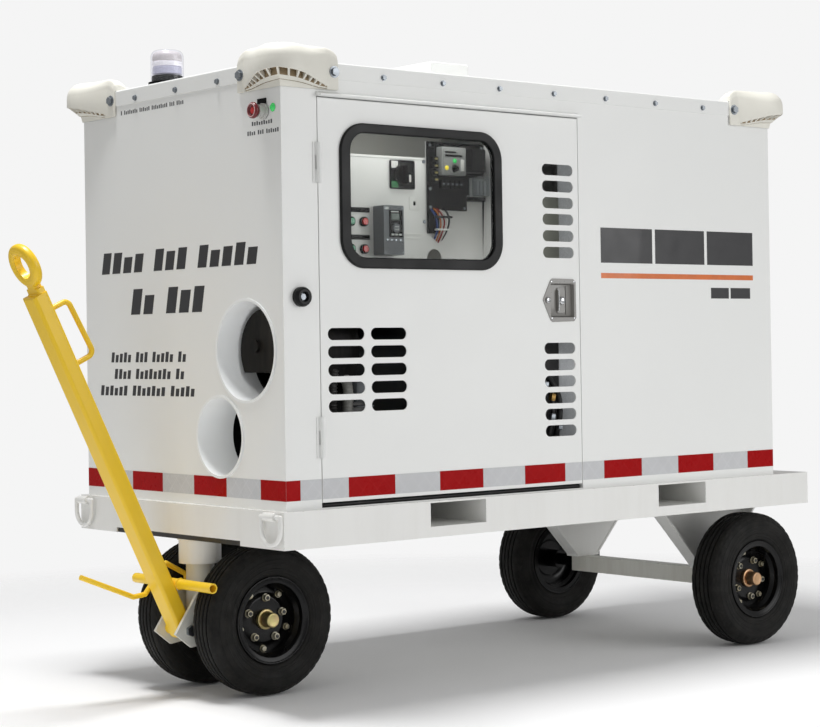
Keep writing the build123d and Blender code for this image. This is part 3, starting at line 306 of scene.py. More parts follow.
# name, sRGB colour, roughness, variation, grime, share of the grime 1 m up, orange peel,
# clear coat, colour under chips, specular
PAINTS = [
    ("white_enclosure", (240, 241, 239), 0.34, 0.003, 0.015, 0.10, 0.02, 0.10, None, 0.35),
    ("white_duct_lining", (246, 248, 248), 0.34, 0.008, 0.04, 0.10, 0.05, 0.2),
    ("white_chassis", (238, 238, 235), 0.36, 0.012, 0.10, 0.45, 0.07, 0.2, (130, 126, 118)),
    ("white_running_gear", (222, 222, 214), 0.42, 0.03, 0.38, 0.6, 0.10, 0.15, (96, 88, 78)),
    ("yellow_towbar", (252, 209, 34), 0.38, 0.03, 0.08, 0.5, 0.08, 0.12, (130, 98, 46)),
    ("black_gloss_rim", (6, 6, 7), 0.24, 0.06, 0.03, 0.8, 0.04, 0.05, None, 0.22),
    # black paint for the radiator, fittings and stud ends; on the frame's tow end and behind the
    # engine lines it is painted shade
    ("black_inside", (26, 26, 28), 0.42, 0.05, 0.3, 0.8, 0.06, 0.1),
    ("inner_panel", (220, 220, 217), 0.40, 0.015, 0.06, 0.6, 0.07, 0.1),
    # cabinet back: a darker copy of the inner panel's white, standing in as painted shade
    ("cabinet_back", (186, 186, 180), 0.5, 0.06, 0.3, 0.9, 0.06, 0.0),
    ("satin_grey", (134, 132, 128), 0.30, 0.03, 0.05, 0.5, 0.03, 0.4),
    ("silver_collar", (206, 206, 202), 0.32, 0.03, 0.05, 0.5, 0.03, 0.4),
    ("engine_paint", (62, 66, 70), 0.48, 0.06, 0.45, 0.9, 0.2, 0.1),
    ("cast_block", (74, 78, 80), 0.55, 0.08, 0.5, 0.9, 0.35, 0.05),
    ("bulkhead", (166, 168, 158), 0.5, 0.03, 0.15, 0.9, 0.06, 0.0),
    # darker copy of the bulkhead colour for the lower plates: painted shade
    ("bulkhead_dark", (112, 114, 108), 0.5, 0.06, 0.30, 0.9, 0.06, 0.0),
    ("blower_black", (9, 9, 10), 0.5, 0.06, 0.2, 0.9, 0.06, 0.0, None, 0.12),
]
# name, sRGB colour, roughness, grain, grain scale, variation, grime, clear coat, specular
PLASTICS = [
    ("cream_bumper", (236, 234, 224), 0.50, 0.16, 620, 0.015, 0.05),
    # darker brownish cream for the groove faces: painted shade, with a grime tint
    ("cream_stained", (158, 138, 108), 0.7, 0.2, 620, 0.10, 0.25),
    ("black_rubber", (11, 12, 13), 0.40, 0.12, 900, 0.08, 0.05, 0.0, 0.25),
    ("black_plastic", (9, 10, 11), 0.42, 0.16, 900, 0.06, 0.06, 0.0, 0.09),
    ("grey_plastic", (108, 112, 116), 0.42, 0.14, 900, 0.04, 0.10, 0.0, 0.25),
    ("mid_grey_plastic", (138, 140, 138), 0.42, 0.14, 900, 0.04, 0.10, 0.0, 0.3),
    ("light_plastic", (196, 200, 198), 0.42, 0.14, 900, 0.03, 0.10),
    ("red_plastic", (214, 18, 24), 0.26, 0.05, 500, 0.04, 0.05, 0.4),
    # darker copy of the red plastic for the e-stop body and rim: painted shade
    ("dark_red_plastic", (112, 12, 24), 0.30, 0.05, 500, 0.04, 0.05, 0.3),
    ("green_plastic", (22, 150, 104), 0.26, 0.05, 500, 0.04, 0.05, 0.5),
    # pale ring on the e-stop rim crest: painted highlight
    ("pale_ring", (214, 178, 178), 0.3, 0.05, 500, 0.03, 0.05),
    ("hose_grey", (150, 150, 146), 0.55, 0.1, 500, 0.05, 0.25),
    ("wire_black", (22, 22, 24), 0.4, 0.05, 500, 0.05, 0.1),
    ("wire_red", (150, 28, 26), 0.4, 0.05, 500, 0.05, 0.1),
    ("wire_blue", (40, 70, 140), 0.4, 0.05, 500, 0.05, 0.1),
    ("wire_orange", (200, 110, 40), 0.4, 0.05, 500, 0.05, 0.1),
]
# name, sRGB colour, roughness, variation, tarnish tint, grime
METALS = [
    ("zinc", (158, 164, 170), 0.36, 0.16),
    ("yellow_zinc", (196, 184, 128), 0.42, 0.12, (196, 168, 132)),
    ("bronze_zinc", (204, 164, 124), 0.42, 0.12, (190, 158, 130)),
    ("dull_nut", (176, 172, 156), 0.42, 0.18, (150, 140, 112)),
    ("alloy", (170, 172, 174), 0.42, 0.14),
    ("bright_steel", (206, 208, 210), 0.16, 0.08),
    ("exhaust", (132, 118, 104), 0.55, 0.3, (120, 92, 70), 0.4),
    ("brass", (184, 150, 92), 0.35, 0.2),
]
TAPES = [("tape_red", (158, 4, 8)), ("tape_white", (200, 201, 203))]
# name, sRGB tint, clarity, reflection, roughness, ripple, smear
CLEARS = [
    ("window_glass", (250, 251, 250), 1.0, 0.25, 0.02, 0.0, 0.003),
    ("beacon_lens", (252, 252, 255), 0.95, 0.8, 0.06, 0.10, 0.015),
    ("relay_cover", (214, 220, 222), 0.86, 1.0, 0.02, 0.0, 0.015),
]
# name, sRGB colour, emission strength
GLOWS = [
    ("lamp_green", (60, 190, 96), 0.45),
    ("led_yellow", (226, 206, 60), 0.5),
    ("lcd", (72, 88, 80), 0.05),
    # glowing frosted colours for the unlit beacon's inner optic: painted light, the bright one a
    # painted highlight band
    ("frosted_lilac", (186, 186, 204), 0.26),
    ("frosted_bright", (228, 226, 230), 0.32),
    ("frosted_warm", (196, 191, 192), 0.28),
    # faint glow on the door jamb: painted light
    ("jamb_white", (214, 217, 220), 0.12),
]
# name, sRGB colour, roughness
DECALS = [
    ("vinyl_charcoal", (34, 34, 37), 0.35),
    ("vinyl_grey", (70, 72, 76), 0.35),
    ("vinyl_ochre", (222, 112, 40), 0.35),
    ("label_white", (226, 226, 222), 0.5),
    ("label_green", (40, 128, 72), 0.5),
]
MATERIALS = {"tyre": tyre_rubber("tyre")}
for maker, rows in ((paint, PAINTS), (plastic, PLASTICS), (metal, METALS), (tape, TAPES),
                    (clear, CLEARS), (glow, GLOWS), (decal, DECALS)):
    for row in rows:
        MATERIALS[row[0]] = maker(*row)


# ============================ mesh helpers =================================
PRISM_FACES = [(0, 1, 2, 3), (7, 6, 5, 4), (0, 4, 5, 1), (1, 5, 6, 2), (2, 6, 7, 3), (3, 7, 4, 0)]


def mark_sharp(mesh, angle):
    bm = bmesh.new()
    bm.from_mesh(mesh)
    limit = math.radians(angle)
    for edge in bm.edges:
        edge.smooth = len(edge.link_faces) == 2 and edge.calc_face_angle(0.0) < limit
    bm.to_mesh(mesh)
    bm.free()


def round_corners(points, passes=3):
    """Cuts the corners of a path again and again."""
    path = [Vector(p) for p in points]
    for _ in range(passes):
        cut = [path[0]]
        for a, b in zip(path[:-1], path[1:]):
            cut += [a * 0.75 + b * 0.25, a * 0.25 + b * 0.75]
        path = cut + [path[-1]]
    return path


def resample(points, count):
    """A rounded path as count equal steps."""
    path = round_corners(points)
    run = [0.0]
    for a, b in zip(path[:-1], path[1:]):
        run.append(run[-1] + (b - a).length)
    out = []
    for i in range(count + 1):
        d = run[-1] * i / count
        k = max(j for j in range(len(run)) if run[j] <= d + 1e-12)
        k = min(k, len(path) - 2)
        out.append(path[k].lerp(path[k + 1], (d - run[k]) / max(1e-9, run[k + 1] - run[k])))
    return out


class Piece:
    """Collects closed parts into one object. A slot is an index into its materials."""

    def __init__(self):
        self.vertices, self.faces, self.slots = [], [], []

    def add(self, vertices, faces, slot=0):
        """slot is one index for all the faces, or a list with one for each."""
        first = len(self.vertices)
        self.vertices += [Vector(v) for v in vertices]
        self.faces += [tuple(i + first for i in face) for face in faces]
        self.slots += slot if isinstance(slot, list) else [slot] * len(faces)

    def block(self, low, high, slot, bevel, lean=0.0):
        """Bevelled block. It leans along y by lean for each unit of height."""
        bm = bmesh.new()
        bmesh.ops.create_cube(bm, size=1.0)
        for v in bm.verts:
            v.co = Vector([(a + b) / 2 + c * (b - a) for a, b, c in zip(low, high, v.co)])
        bmesh.ops.bevel(bm, geom=bm.edges[:], offset=bevel, segments=2, profile=0.6,
                        affect="EDGES")
        if lean:
            for v in bm.verts:
                v.co.y += lean * (v.co.z - low[2])
        bm.verts.index_update()
        self.add([v.co.copy() for v in bm.verts],
                 [tuple(v.index for v in f.verts) for f in bm.faces], slot)
        bm.free()

    def blocks(self, rows):
        """Rows of x0, x1, y0, y1, z0, z1, slot, bevel."""
        for x0, x1, y0, y1, z0, z1, slot, bevel in rows:
            self.block((x0, y0, z0), (x1, y1, z1), slot, bevel)

    def slabs(self, plane, rows):
        """Slabs facing the door side: x0, x1, z0, z1, front and back ahead of plane, slot, bevel."""
        self.blocks([(x0, x1, plane - front, plane - back, z0, z1, slot, bevel)
                     for x0, x1, z0, z1, front, back, slot, bevel in rows])

    def lathe(self, outline, origin, axis, segments, slot=0, phase=0.0):
        """Closed solid of revolution. outline is (radius, height) along the axis."""
        z = Vector(axis).normalized()
        x = z.orthogonal().normalized()
        y = z.cross(x)
        centre = Vector(origin)
        vertices, faces, rings = [], [], []
        for radius, height in outline:
            first = len(vertices)
            if radius < 1e-7:
                vertices.append(centre + z * height)
            else:
                for i in range(segments):
                    a = 2 * math.pi * i / segments + phase
                    vertices.append(centre + z * height + x * (radius * math.cos(a))
                                    + y * (radius * math.sin(a)))
            rings.append(range(first, len(vertices)))
        for a, b in zip(rings[:-1], rings[1:]):
            count = max(len(a), len(b))
            for i in range(count):
                j = (i + 1) % count
                if len(a) == 1:
                    faces.append((a[0], b[i], b[j]))
                elif len(b) == 1:
                    faces.append((a[i], b[0], a[j]))
                else:
                    faces.append((a[i], b[i], b[j], a[j]))
        self.add(vertices, faces, slot)

    def boss(self, x, y, z, outline, segments, slot=0):
        """Round boss facing the door side. The outline's first centre point is added here."""
        self.lathe([(0, outline[0][1])] + outline, (x, y, z), TO_DOOR_SIDE, segments, slot)

    def tube(self, path, radius, slot=0, segments=12, caps=True):
        """Round bar along a path. radius may be a function of the share of the way along."""
        path = [Vector(p) for p in path]
        vertices, faces = [], []
        last = len(path) - 1
        side = (path[1] - path[0]).normalized().orthogonal().normalized()
        for i in range(last + 1):
            ahead = (path[min(i + 1, last)] - path[max(i - 1, 0)]).normalized()
            side = (side - ahead * side.dot(ahead)).normalized()
            across = ahead.cross(side)
            r = radius(i / last) if callable(radius) else radius
            first = len(vertices)
            for k in range(segments):
                a = 2 * math.pi * k / segments
                vertices.append(path[i] + side * (r * math.cos(a)) + across * (r * math.sin(a)))
            if i:
                for k in range(segments):
                    j = (k + 1) % segments
                    faces.append((first - segments + k, first - segments + j,
                                  first + j, first + k))
        if caps:
            faces.append(tuple(range(segments))[::-1])
            faces.append(tuple(range(len(vertices) - segments, len(vertices))))
        self.add(vertices, faces, slot)

    def weld(self, start, end, radius):
        """Rippled weld bead, thinner at its ends."""
        a, b = Vector(start), Vector(end)
        length = (b - a).length
        steps = max(6, int(length / 0.0022))
        self.tube([a.lerp(b, i / steps) for i in range(steps + 1)],
                  lambda t: radius * (0.86 + 0.22 * abs(math.sin(t * length / 0.0062 * math.pi)))
                  * (0.35 + 0.65 * min(1, 14 * t, 14 * (1 - t))), segments=8)

    def ring_weld(self, centre, axis, ring_radius, radius, steps=110):
        z = Vector(axis).normalized()
        x = z.orthogonal().normalized()
        y = z.cross(x)
        angles = [2 * math.pi * i / steps for i in range(steps + 1)]
        self.tube([Vector(centre) + x * (ring_radius * math.cos(a))
                   + y * (ring_radius * math.sin(a)) for a in angles],
                  lambda t: radius * (0.86 + 0.22 * abs(math.sin(t * steps * 0.55))),
                  segments=8, caps=False)

    def make(self, name, body, materials, slot=None, sharp=35):
        """Makes the object. Edges over sharp degrees stay hard; None leaves it all flat."""
        mesh = bpy.data.meshes.new(name)
        mesh.from_pydata([tuple(v) for v in self.vertices], [], self.faces)
        mesh.validate()
        obj = bpy.data.objects.new(name, mesh)
        coll.objects.link(obj)
        for material in materials:
            mesh.materials.append(MATERIALS[material])
        for polygon, index in zip(mesh.polygons, self.slots):
            polygon.material_index = index
        bm = bmesh.new()
        bm.from_mesh(mesh)
        bmesh.ops.recalc_face_normals(bm, faces=bm.faces)
        bm.to_mesh(mesh)
        bm.free()
        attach(obj, body)
        if sharp is not None:
            for polygon in mesh.polygons:
                polygon.use_smooth = True
            mark_sharp(mesh, sharp)
        return obj


# ============================ CAD finishes =================================
PLAIN_FINISHES = {
    "white_enclosure": "front_panel door_side_panel far_side_panel rear_panel roof_cap "
                       "roof_box door_panel hinge_post_leaves hinge_door_leaves",
    "white_duct_lining": "duct_spigots",
    "white_running_gear": "caster_yoke",
    "white_chassis": "lashing_ring_front_door lashing_ring_front_far",
    "zinc": "towbar_pin bumper_bolts roof_screws crankshaft",
    "yellow_towbar": "towbar tow_eye lock_lever",
    "cream_bumper": "corner_bumpers",
    "black_plastic": "beacon_base disconnect_handle disconnect_plate cooling_fan "
                     "fuel_tank battery",
    "beacon_lens": "beacon_lens",
    "black_rubber": "window_gasket",
    "window_glass": "window_glass",
    "satin_grey": "latch_pan latch_handle",
    "red_plastic": "estop_button stop_button_a stop_button_b",
    "green_plastic": "start_button_a start_button_b",
    "engine_paint": "generator_housing",
    "cast_block": "engine_block",
    "black_inside": "radiator",
    "alloy": "blower_wheel",
    "exhaust": "exhaust_pipe",
    "blower_black": "blower_housing",
    "tyre": "tyre_front_door tyre_front_far tyre_rear_door tyre_rear_far",
}


def give(node, *materials, pick=None):
    """Material slots of a CAD node. pick chooses a slot from a face's centre and normal."""
    mesh = NODES[node].data
    mesh.materials.clear()
    for material in materials:
        mesh.materials.append(MATERIALS[material])
    for polygon in mesh.polygons:
        polygon.material_index = pick(polygon.center, polygon.normal) if pick else 0


def wheel_picker(name):
    """Black wheel, nut-coloured fasteners and a plated hub."""
    wheel_x, wheel_y, bolt_angle, _ = WHEELS[name]
    side = -1 if wheel_y < 0 else 1

    def pick(c, n):
        out = (c.y - wheel_y) * side
        dx, dz = c.x - wheel_x, c.z - AXLE_Z
        r = math.hypot(dx, dz)
        if r < 0.0245 and out > 0.0072:
            return 2
        if out > 0.0072 and 0.036 < r < 0.064:
            return 1
        if 0.0003 < out < 0.0095 and 0.064 < r < 0.0885:
            # bolt heads stand off the disc, one every 72 degrees
            a = math.degrees(math.atan2(dz, dx * -side)) - bolt_angle
            return 1 if abs(((a - 126 + 36) % 72) - 36) < 9.5 else 0
        return 0
    return pick


def pick_estop(c, n):
    """Silver collar, black station body, green lamp face."""
    if math.hypot(c.y + 0.447, c.z - 1.523) < 0.0125:
        return 2 if c.x < -0.9209 else 0
    collar = c.x < -0.9212 and math.hypot(c.y + 0.409, c.z - 1.517) < 0.0205
    return 0 if collar or c.x > -0.918 else 1


def pick_panel(c, n):
    """Black covers ahead of the panel, and the cabinet back behind it in a darker paint that is
    painted shade.
    """
    if c.y < -0.3285 and c.x < -0.5:
        return 1
    if c.x > -0.325 and -0.3375 < c.y < -0.3284 and c.z > 1.227:
        return 1
    if c.y < -0.3369 and -0.325 < c.x < -0.1215:
        return 1
    return 2 if c.y > -0.153 and n.y < -0.5 else 0


def finish_cad_nodes():
    for material, nodes in PLAIN_FINISHES.items():
        for node in nodes.split():
            give(node, material)
    # stub axles beyond the beam in gloss black: painted shade inside the wheels
    give("rear_axle", "white_running_gear", "black_gloss_rim",
         pick=lambda c, n: 1 if abs(c.y) > 0.3025 else 0)
    # the frame's lower tow-end face is painted black: painted shade under the deck
    give("chassis_frame", "white_chassis", "black_inside",
         pick=lambda c, n: 1 if (c.x < -0.931 and abs(c.y) < 0.299 and c.z < 0.4315
                                 and n.x < -0.5) else 0)
    for name in WHEELS:
        hub = "yellow_zinc" if name.startswith("front") else "bronze_zinc"
        give("wheel_" + name, "black_gloss_rim", "dull_nut", hub, pick=wheel_picker(name))
    give("estop_station", "silver_collar", "black_plastic", "lamp_green", pick=pick_estop)
    give("door_stop", "black_rubber", "zinc",
         pick=lambda c, n: 1 if (math.hypot(c.x + 0.866, c.z - 1.048) < 0.0078
                                 and c.y < -0.485) else 0)
    # faces at the cabinet back take the darker copy of the panel white as painted shade
    give("control_panel", "inner_panel", "black_plastic", "cabinet_back", pick=pick_panel)
    give("vfd_drive", "grey_plastic", "black_plastic",
         pick=lambda c, n: 1 if c.y < -0.3735 else 0)
    give("engine_controller", "mid_grey_plastic", "black_plastic",
         pick=lambda c, n: 1 if c.y < -0.3625 else 0)


# ============================ reflective tape ==============================
TAPE_BAND = 0.1524          # length of one colour
TAPE_Z = (0.538, 0.589)
TAPE_THICK = 0.0006
TAPE_GAP = 0.0002           # taken off each end of a band
TAPE_BEVEL = 0.0001


def tape_bands(half, first):
    """Start, end and colour slot of each band along a wall, from -half, red first."""
    start, length, color = -half, first, 0
    while start < half - 0.0005:
        end = min(half, start + length)
        yield start, end, color
        start, length, color = end, TAPE_BAND, 1 - color


def make_tape():
    door, body = Piece(), Piece()
    # stretches of wall: from, to, the piece that carries the tape
    door_side = ((-HALF_LENGTH, -0.8084, body), (-0.8046, 0.1046, door),
                 (0.1084, HALF_LENGTH, body))
    far_side = ((-HALF_LENGTH, HALF_LENGTH, body),)
    for side, stretches in ((-1, door_side), (1, far_side)):
        y0, y1 = sorted((side * (HALF_WIDTH + LIFT), side * (HALF_WIDTH + TAPE_THICK)))
        for start, end, color in tape_bands(HALF_LENGTH, first=0.044):
            for low, high, piece in stretches:
                x0, x1 = max(start, low), min(end, high)
                if x1 - x0 > 0.001:
                    piece.block((x0 + TAPE_GAP, y0, TAPE_Z[0]), (x1 - TAPE_GAP, y1, TAPE_Z[1]),
                                color, TAPE_BEVEL)
    for side in (-1, 1):
        x0, x1 = sorted((side * (HALF_LENGTH + LIFT), side * (HALF_LENGTH + TAPE_THICK)))
        for y0, y1, color in tape_bands(HALF_WIDTH, first=0.1084):
            body.block((x0, y0 + TAPE_GAP, TAPE_Z[0]), (x1, y1 - TAPE_GAP, TAPE_Z[1]),
                       color, TAPE_BEVEL)
    door.make("reflective_tape_door", "door", ["tape_red", "tape_white"], sharp=None)
    body.make("reflective_tape_body", "root", ["tape_red", "tape_white"], sharp=None)


# ============================ plain marks ==================================
MARK_THICK = 0.0003
# tow end rows: blocks in each group, z bottom, z top, start y, length towards -y, lean,
# slot, filled share of the pitch, gap between groups in pitches
MARK_ROWS = [
    ([4, 3, 5], 1.135, 1.194, 0.391, 0.768, 0.22, 0, 0.74, 0.8),
    ([2, 3], 1.019, 1.089, 0.239, 0.368, 0.22, 0, 0.74, 0.8),
    ([5, 3, 5, 2], 0.888, 0.916, 0.346, 0.384, 0.16, 0, 0.68, 0.9),
    ([4, 8, 2], 0.842, 0.870, 0.330, 0.358, 0.16, 0, 0.68, 0.9),
    ([6, 7, 5], 0.796, 0.824, 0.405, 0.483, 0.16, 0, 0.68, 0.9),
    ([1, 8, 6, 9, 3, 4], 1.5735, 1.5850, 0.277, 0.319, 0.0, 1, 0.6, 0.9),
    ([9], 1.4845, 1.4950, -0.353, 0.092, 0.0, 1, 0.6, 0.9),
    ([4, 3, 6], 1.4610, 1.4720, -0.333, 0.139, 0.0, 1, 0.6, 0.9),
]
# door side bars: x0, x1, z0, z1, slot
MARK_BARS = [
    (0.192, 0.402, 1.150, 1.250, 0), (0.414, 0.624, 1.150, 1.250, 0),
    (0.636, 0.840, 1.150, 1.250, 0), (0.192, 0.840, 1.106, 1.121, 2),
    (0.651, 0.730, 1.050, 1.082, 0), (0.738, 0.826, 1.050, 1.082, 0),
]


def make_marks():
    """Rows of slanted blocks on the tow end, plain bars on the door side."""
    marks = Piece()
    for groups, z0, z1, start, length, lean, slot, fill, gap in MARK_ROWS:
        pitch = length / (sum(groups) + gap * (len(groups) - 1))
        place = 0.0
        for count in groups:
            for i in range(count):
                high = start - (place + i) * pitch
                low = start - (place + i + fill) * pitch
                # the first block of a group is full height, the rest vary
                share = 0.74 + 0.12 * ((i * 7 + count) % 3) if i else 1
                marks.block((-HALF_LENGTH - MARK_THICK, low, z0),
                            (-HALF_LENGTH - LIFT, high, z0 + (z1 - z0) * share),
                            slot, 0.0001, -lean)
            place += count + gap
    marks.slabs(-HALF_WIDTH, [(x0, x1, z0, z1, MARK_THICK, LIFT, slot, 0.0001)
                              for x0, x1, z0, z1, slot in MARK_BARS])
    marks.make("plain_marks", "root", ["vinyl_charcoal", "vinyl_grey", "vinyl_ochre"],
               sharp=None)


# ============================ corner bumpers ===============================
# Ribbed roof bumper swept round one corner, in millimetres. x and y run outwards from
# the enclosure's corner and z is the height. "Along" is the place on an arm, negative
# away from the corner.
PIVOT = 46.0                # the round of the corner turns about (-PIVOT, -PIVOT)
INNER_LIP = 2.75
ARM_STATIONS = [-177, -176.4, -175, -172, -166, -158, -150, -146, -141, -137.2, -137, -133,
                -129, -124, -118, -112, -106, -97, -88, -80, -71, -64, -54, -46]
CORNER_STEPS = 30
CORNER_CURVE = ((-46.0, 46.7), (18.0, 70.7), (70.7, 18.0), (46.7, -46.0))    # Bezier points
# along, height
RIM_HEIGHTS = [(-137, 1581.5), (-46, 1604.5), (0, 1615.5)]
COLLAR_HEIGHTS = [(-137, 1574.6), (-112, 1575.8), (-64, 1584.0), (-46, 1586.0), (0, 1589.0)]
SHADED_GROOVE_EDGES = {4, 5, 6, 8, 9, 10}       # profile edges down in the grooves, painted darker: painted shade with a grime tint
RIB_COUNT = 15
RIB_CENTRE = -84.0          # ribs fan out from (RIB_CENTRE, RIB_CENTRE)
RIB_HALF = 2.7
RIB_HEIGHT = 14


def interpolate(table, x):
    for (a, value_a), (b, value_b) in zip(table[:-1], table[1:]):
        if a <= x <= b:
            return value_a + (value_b - value_a) * (x - a) / (b - a)
    return table[0][1] if x < table[0][0] else table[-1][1]


def arm_depth(along):
    """How far an arm stands out from the wall."""
    return 9.2 if along < -146 else 9.2 + (146 + along) * 0.375


def corner_plan():
    """(angle, reach) about the pivot along the curve from arm to arm."""
    plan = []
    for i in range(201):
        t = i / 200.0
        weights = ((1 - t) ** 3, 3 * t * (1 - t) ** 2, 3 * t * t * (1 - t), t ** 3)
        x, y = (sum(w * p[axis] for w, p in zip(weights, CORNER_CURVE)) for axis in (0, 1))
        plan.append((math.atan2(y + PIVOT, x + PIVOT), math.hypot(x + PIVOT, y + PIVOT)))
    return plan


CORNER_PLAN = corner_plan()


def corner_reach(angle):
    for (a0, r0), (a1, r1) in zip(CORNER_PLAN[:-1], CORNER_PLAN[1:]):
        if a1 <= angle <= a0:
            return r0 + (r1 - r0) * ((a0 - angle) / max(1e-9, a0 - a1))
    return CORNER_PLAN[0][1]


def bumper_profile(wall, reach, along):
    """Closed (distance, height) outline. wall and reach are the wall and outer distances."""
    fan = wall / PIVOT
    depth = reach - wall
    rim, collar = interpolate(RIM_HEIGHTS, along), interpolate(COLLAR_HEIGHTS, along)
    shrink = (-175.5 - along) * 1.3 if along < -175.5 else 0.0    # chamfer at the arm's tip
    reach = reach - shrink
    bottom = 1573.0 + shrink * 0.5
    lip = wall + (INNER_LIP + 0.6) * fan
    points = [(wall + INNER_LIP * fan, bottom), (lip, bottom)]
    if along < -137.1:
        # flat underside near the tip
        points += [(lip + (reach - lip) * 0.08 * i, bottom + 0.25 * 0.08 * i)
                   for i in range(1, 11)]
        rim = 1574.0
    else:
        # narrow groove by the wall, then the deep pocket
        step = min(6.2, depth - 2.6)
        groove = wall + (step + 1.3) * fan
        width = max(0.7, reach - groove - 2.5 - 3.0)
        groove_top = collar + min(5.0, width * 0.6)
        pocket = groove + 3.1 + width * 0.34
        pocket_end = min(reach - 1.4, groove + 2.5 + width)
        middle = collar + 0.8 + (rim - collar) * 0.36
        deep = min(17.0, width * 0.7)
        points += [
            (wall + step * fan, collar - 1.0), (wall + (step + 0.35) * fan, collar),
            (groove, collar + 0.1), (groove + 0.3, groove_top), (groove + 2.7, groove_top),
            (groove + 3.0, collar + 0.9), (pocket, middle), (pocket + 0.25, middle + deep),
            (pocket_end - 0.2, rim + deep * 0.8), (pocket_end, rim - 0.4)]
    points += [(reach - 1.1, rim - 0.3), (reach - 0.3, rim + 0.3), (reach, rim + 1.5)]
    # outer face and rounded top edge; the top dips towards the tip
    tip = min(1.0, max(0.0, (-130.0 - along) / 48.0))
    top = 1680.5 - shrink - 27.0 * (1.0 - math.sqrt(1.0 - tip * tip * 0.98))
    grow = min(1.0, max(0.0, (depth - 9.2) / 36.0))
    round_z = 30.0 + 12.0 * grow
    round_out = min(28.0 + 8.0 * grow, depth - 1.0)
    points += [(reach, rim + (top - round_z - rim) * 0.5), (reach, top - round_z - 1.5)]
    for i in range(13):
        t = math.radians(90 * i / 12)
        sink = 0.6 if i >= 5 else 0.0
        points.append((reach - 0.3 - round_out + (round_out - sink) * math.cos(t),
                       top - round_z + (round_z - sink * 0.5) * math.sin(t)))
    # rounded back edge over the roof, then the underside
    back = wall - 38.0
    back_z = max(3.0, min(22.0, top - 1647.0))
    back_in = min(26.0, reach - 0.3 - round_out - back - 0.5)
    for i in range(9):
        t = math.radians(90 + 90 * i / 8)
        points.append((back + shrink + back_in + back_in * math.cos(t),
                       top - back_z + back_z * math.sin(t)))
    points += [(back + shrink, 1644.8), (back + 0.5 + shrink, 1644.3),
               (wall + INNER_LIP * fan, 1644.3)]
    return points


def bumper_shell():
    # each section: origin, outward direction, wall distance, outer distance, along
    sections = [((s, -PIVOT), (0.0, 1.0), PIVOT, arm_depth(s) + PIVOT, s) for s in ARM_STATIONS]
    for i in range(1, CORNER_STEPS):
        angle = math.radians(90 - 90 * i / CORNER_STEPS)
        x, y = math.cos(angle), math.sin(angle)
        along = -PIVOT * abs(1 - 2.0 * i / CORNER_STEPS)
        sections.append(((-PIVOT, -PIVOT), (x, y), PIVOT / max(x, y), corner_reach(angle), along))
    sections += [((-PIVOT, s), (1.0, 0.0), PIVOT, arm_depth(s) + PIVOT, s)
                 for s in ARM_STATIONS[::-1]]
    vertices, faces, slots, rings = [], [], [], []
    for origin, out, wall, reach, along in sections:
        first = len(vertices)
        for distance, z in bumper_profile(wall, reach, along):
            distance = max(distance, 4.0)
            vertices.append((origin[0] + out[0] * distance, origin[1] + out[1] * distance, z))
        rings.append(range(first, len(vertices)))
    count = len(rings[0])
    for k, (a, b) in enumerate(zip(rings[:-1], rings[1:])):
        grooved = sections[k][4] > -137.15 and sections[k + 1][4] > -137.15
        for i in range(count):
            j = (i + 1) % count
            faces.append((a[i], a[j], b[j], b[i]))
            # groove faces take the darker slot: painted shade with a grime tint
            slots.append(1 if i in SHADED_GROOVE_EDGES and grooved else 0)
    faces += [tuple(rings[0][::-1]), tuple(rings[-1])]
    return vertices, faces, slots + [0, 0]


def outside_bumper(x, y):
    if x < -PIVOT and y > x:
        return y > arm_depth(x)
    if y < -PIVOT and x > y:
        return x > arm_depth(y)
    return math.hypot(x + PIVOT, y + PIVOT) > corner_reach(math.atan2(y + PIVOT, x + PIVOT))


def bumper_ribs():
    """Thick ribs across the pockets, fanned out from inside the corner."""
    ribs = []
    for i in range(RIB_COUNT):
        angle = math.radians(117.0 - 144.0 * i / (RIB_COUNT - 1))
        out_x, out_y = math.cos(angle), math.sin(angle)
        wall = (-RIB_CENTRE + 8.6) / max(out_x, out_y)
        # halve the span until it closes on the outer face
        reach, far = wall, 420.0
        for _ in range(40):
            middle = (reach + far) / 2
            if outside_bumper(RIB_CENTRE + middle * out_x, RIB_CENTRE + middle * out_y):
                far = middle
            else:
                reach = middle
        if reach - wall < 5:
            continue
        x, y = RIB_CENTRE + reach * out_x, RIB_CENTRE + reach * out_y
        along = min(x, y)
        if along >= -PIVOT:
            turn = math.degrees(math.atan2(y + PIVOT, x + PIVOT))
            along = -PIVOT * min(1.0, abs(turn - 45) / 45)
        z_out = interpolate(RIM_HEIGHTS, along) + 0.5
        z_in = interpolate(COLLAR_HEIGHTS, along) + 1.0
        r_out, r_in = reach - 1.6, wall + 0.5
        vertices = [(RIB_CENTRE + r * out_x - out_y * side, RIB_CENTRE + r * out_y + out_x * side, z)
                    for side in (-RIB_HALF, RIB_HALF)
                    for r, z in ((r_in, z_in), (r_out, z_out), (r_out, z_out + RIB_HEIGHT),
                                 (r_in, z_in + RIB_HEIGHT))]
        ribs.append((vertices, PRISM_FACES, 0))
    return ribs


def make_bumpers():
    piece = Piece()
    parts = [bumper_shell()] + bumper_ribs()
    for side_x, side_y, turn in ((1, 1, 0), (-1, 1, 90), (-1, -1, 180), (1, -1, 270)):
        c, s = math.cos(math.radians(turn)), math.sin(math.radians(turn))
        corner_x, corner_y = side_x * HALF_LENGTH / MM, side_y * HALF_WIDTH / MM
        for vertices, faces, slots in parts:
            piece.add([((corner_x + x * c - y * s) * MM, (corner_y + x * s + y * c) * MM, z * MM)
                       for x, y, z in vertices], faces, slots)
    bumpers = piece.make("corner_bumper_mouldings", "root", ["cream_bumper", "cream_stained"],
                         slot="cream_plastic", sharp=32)
    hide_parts("corner_bumpers")


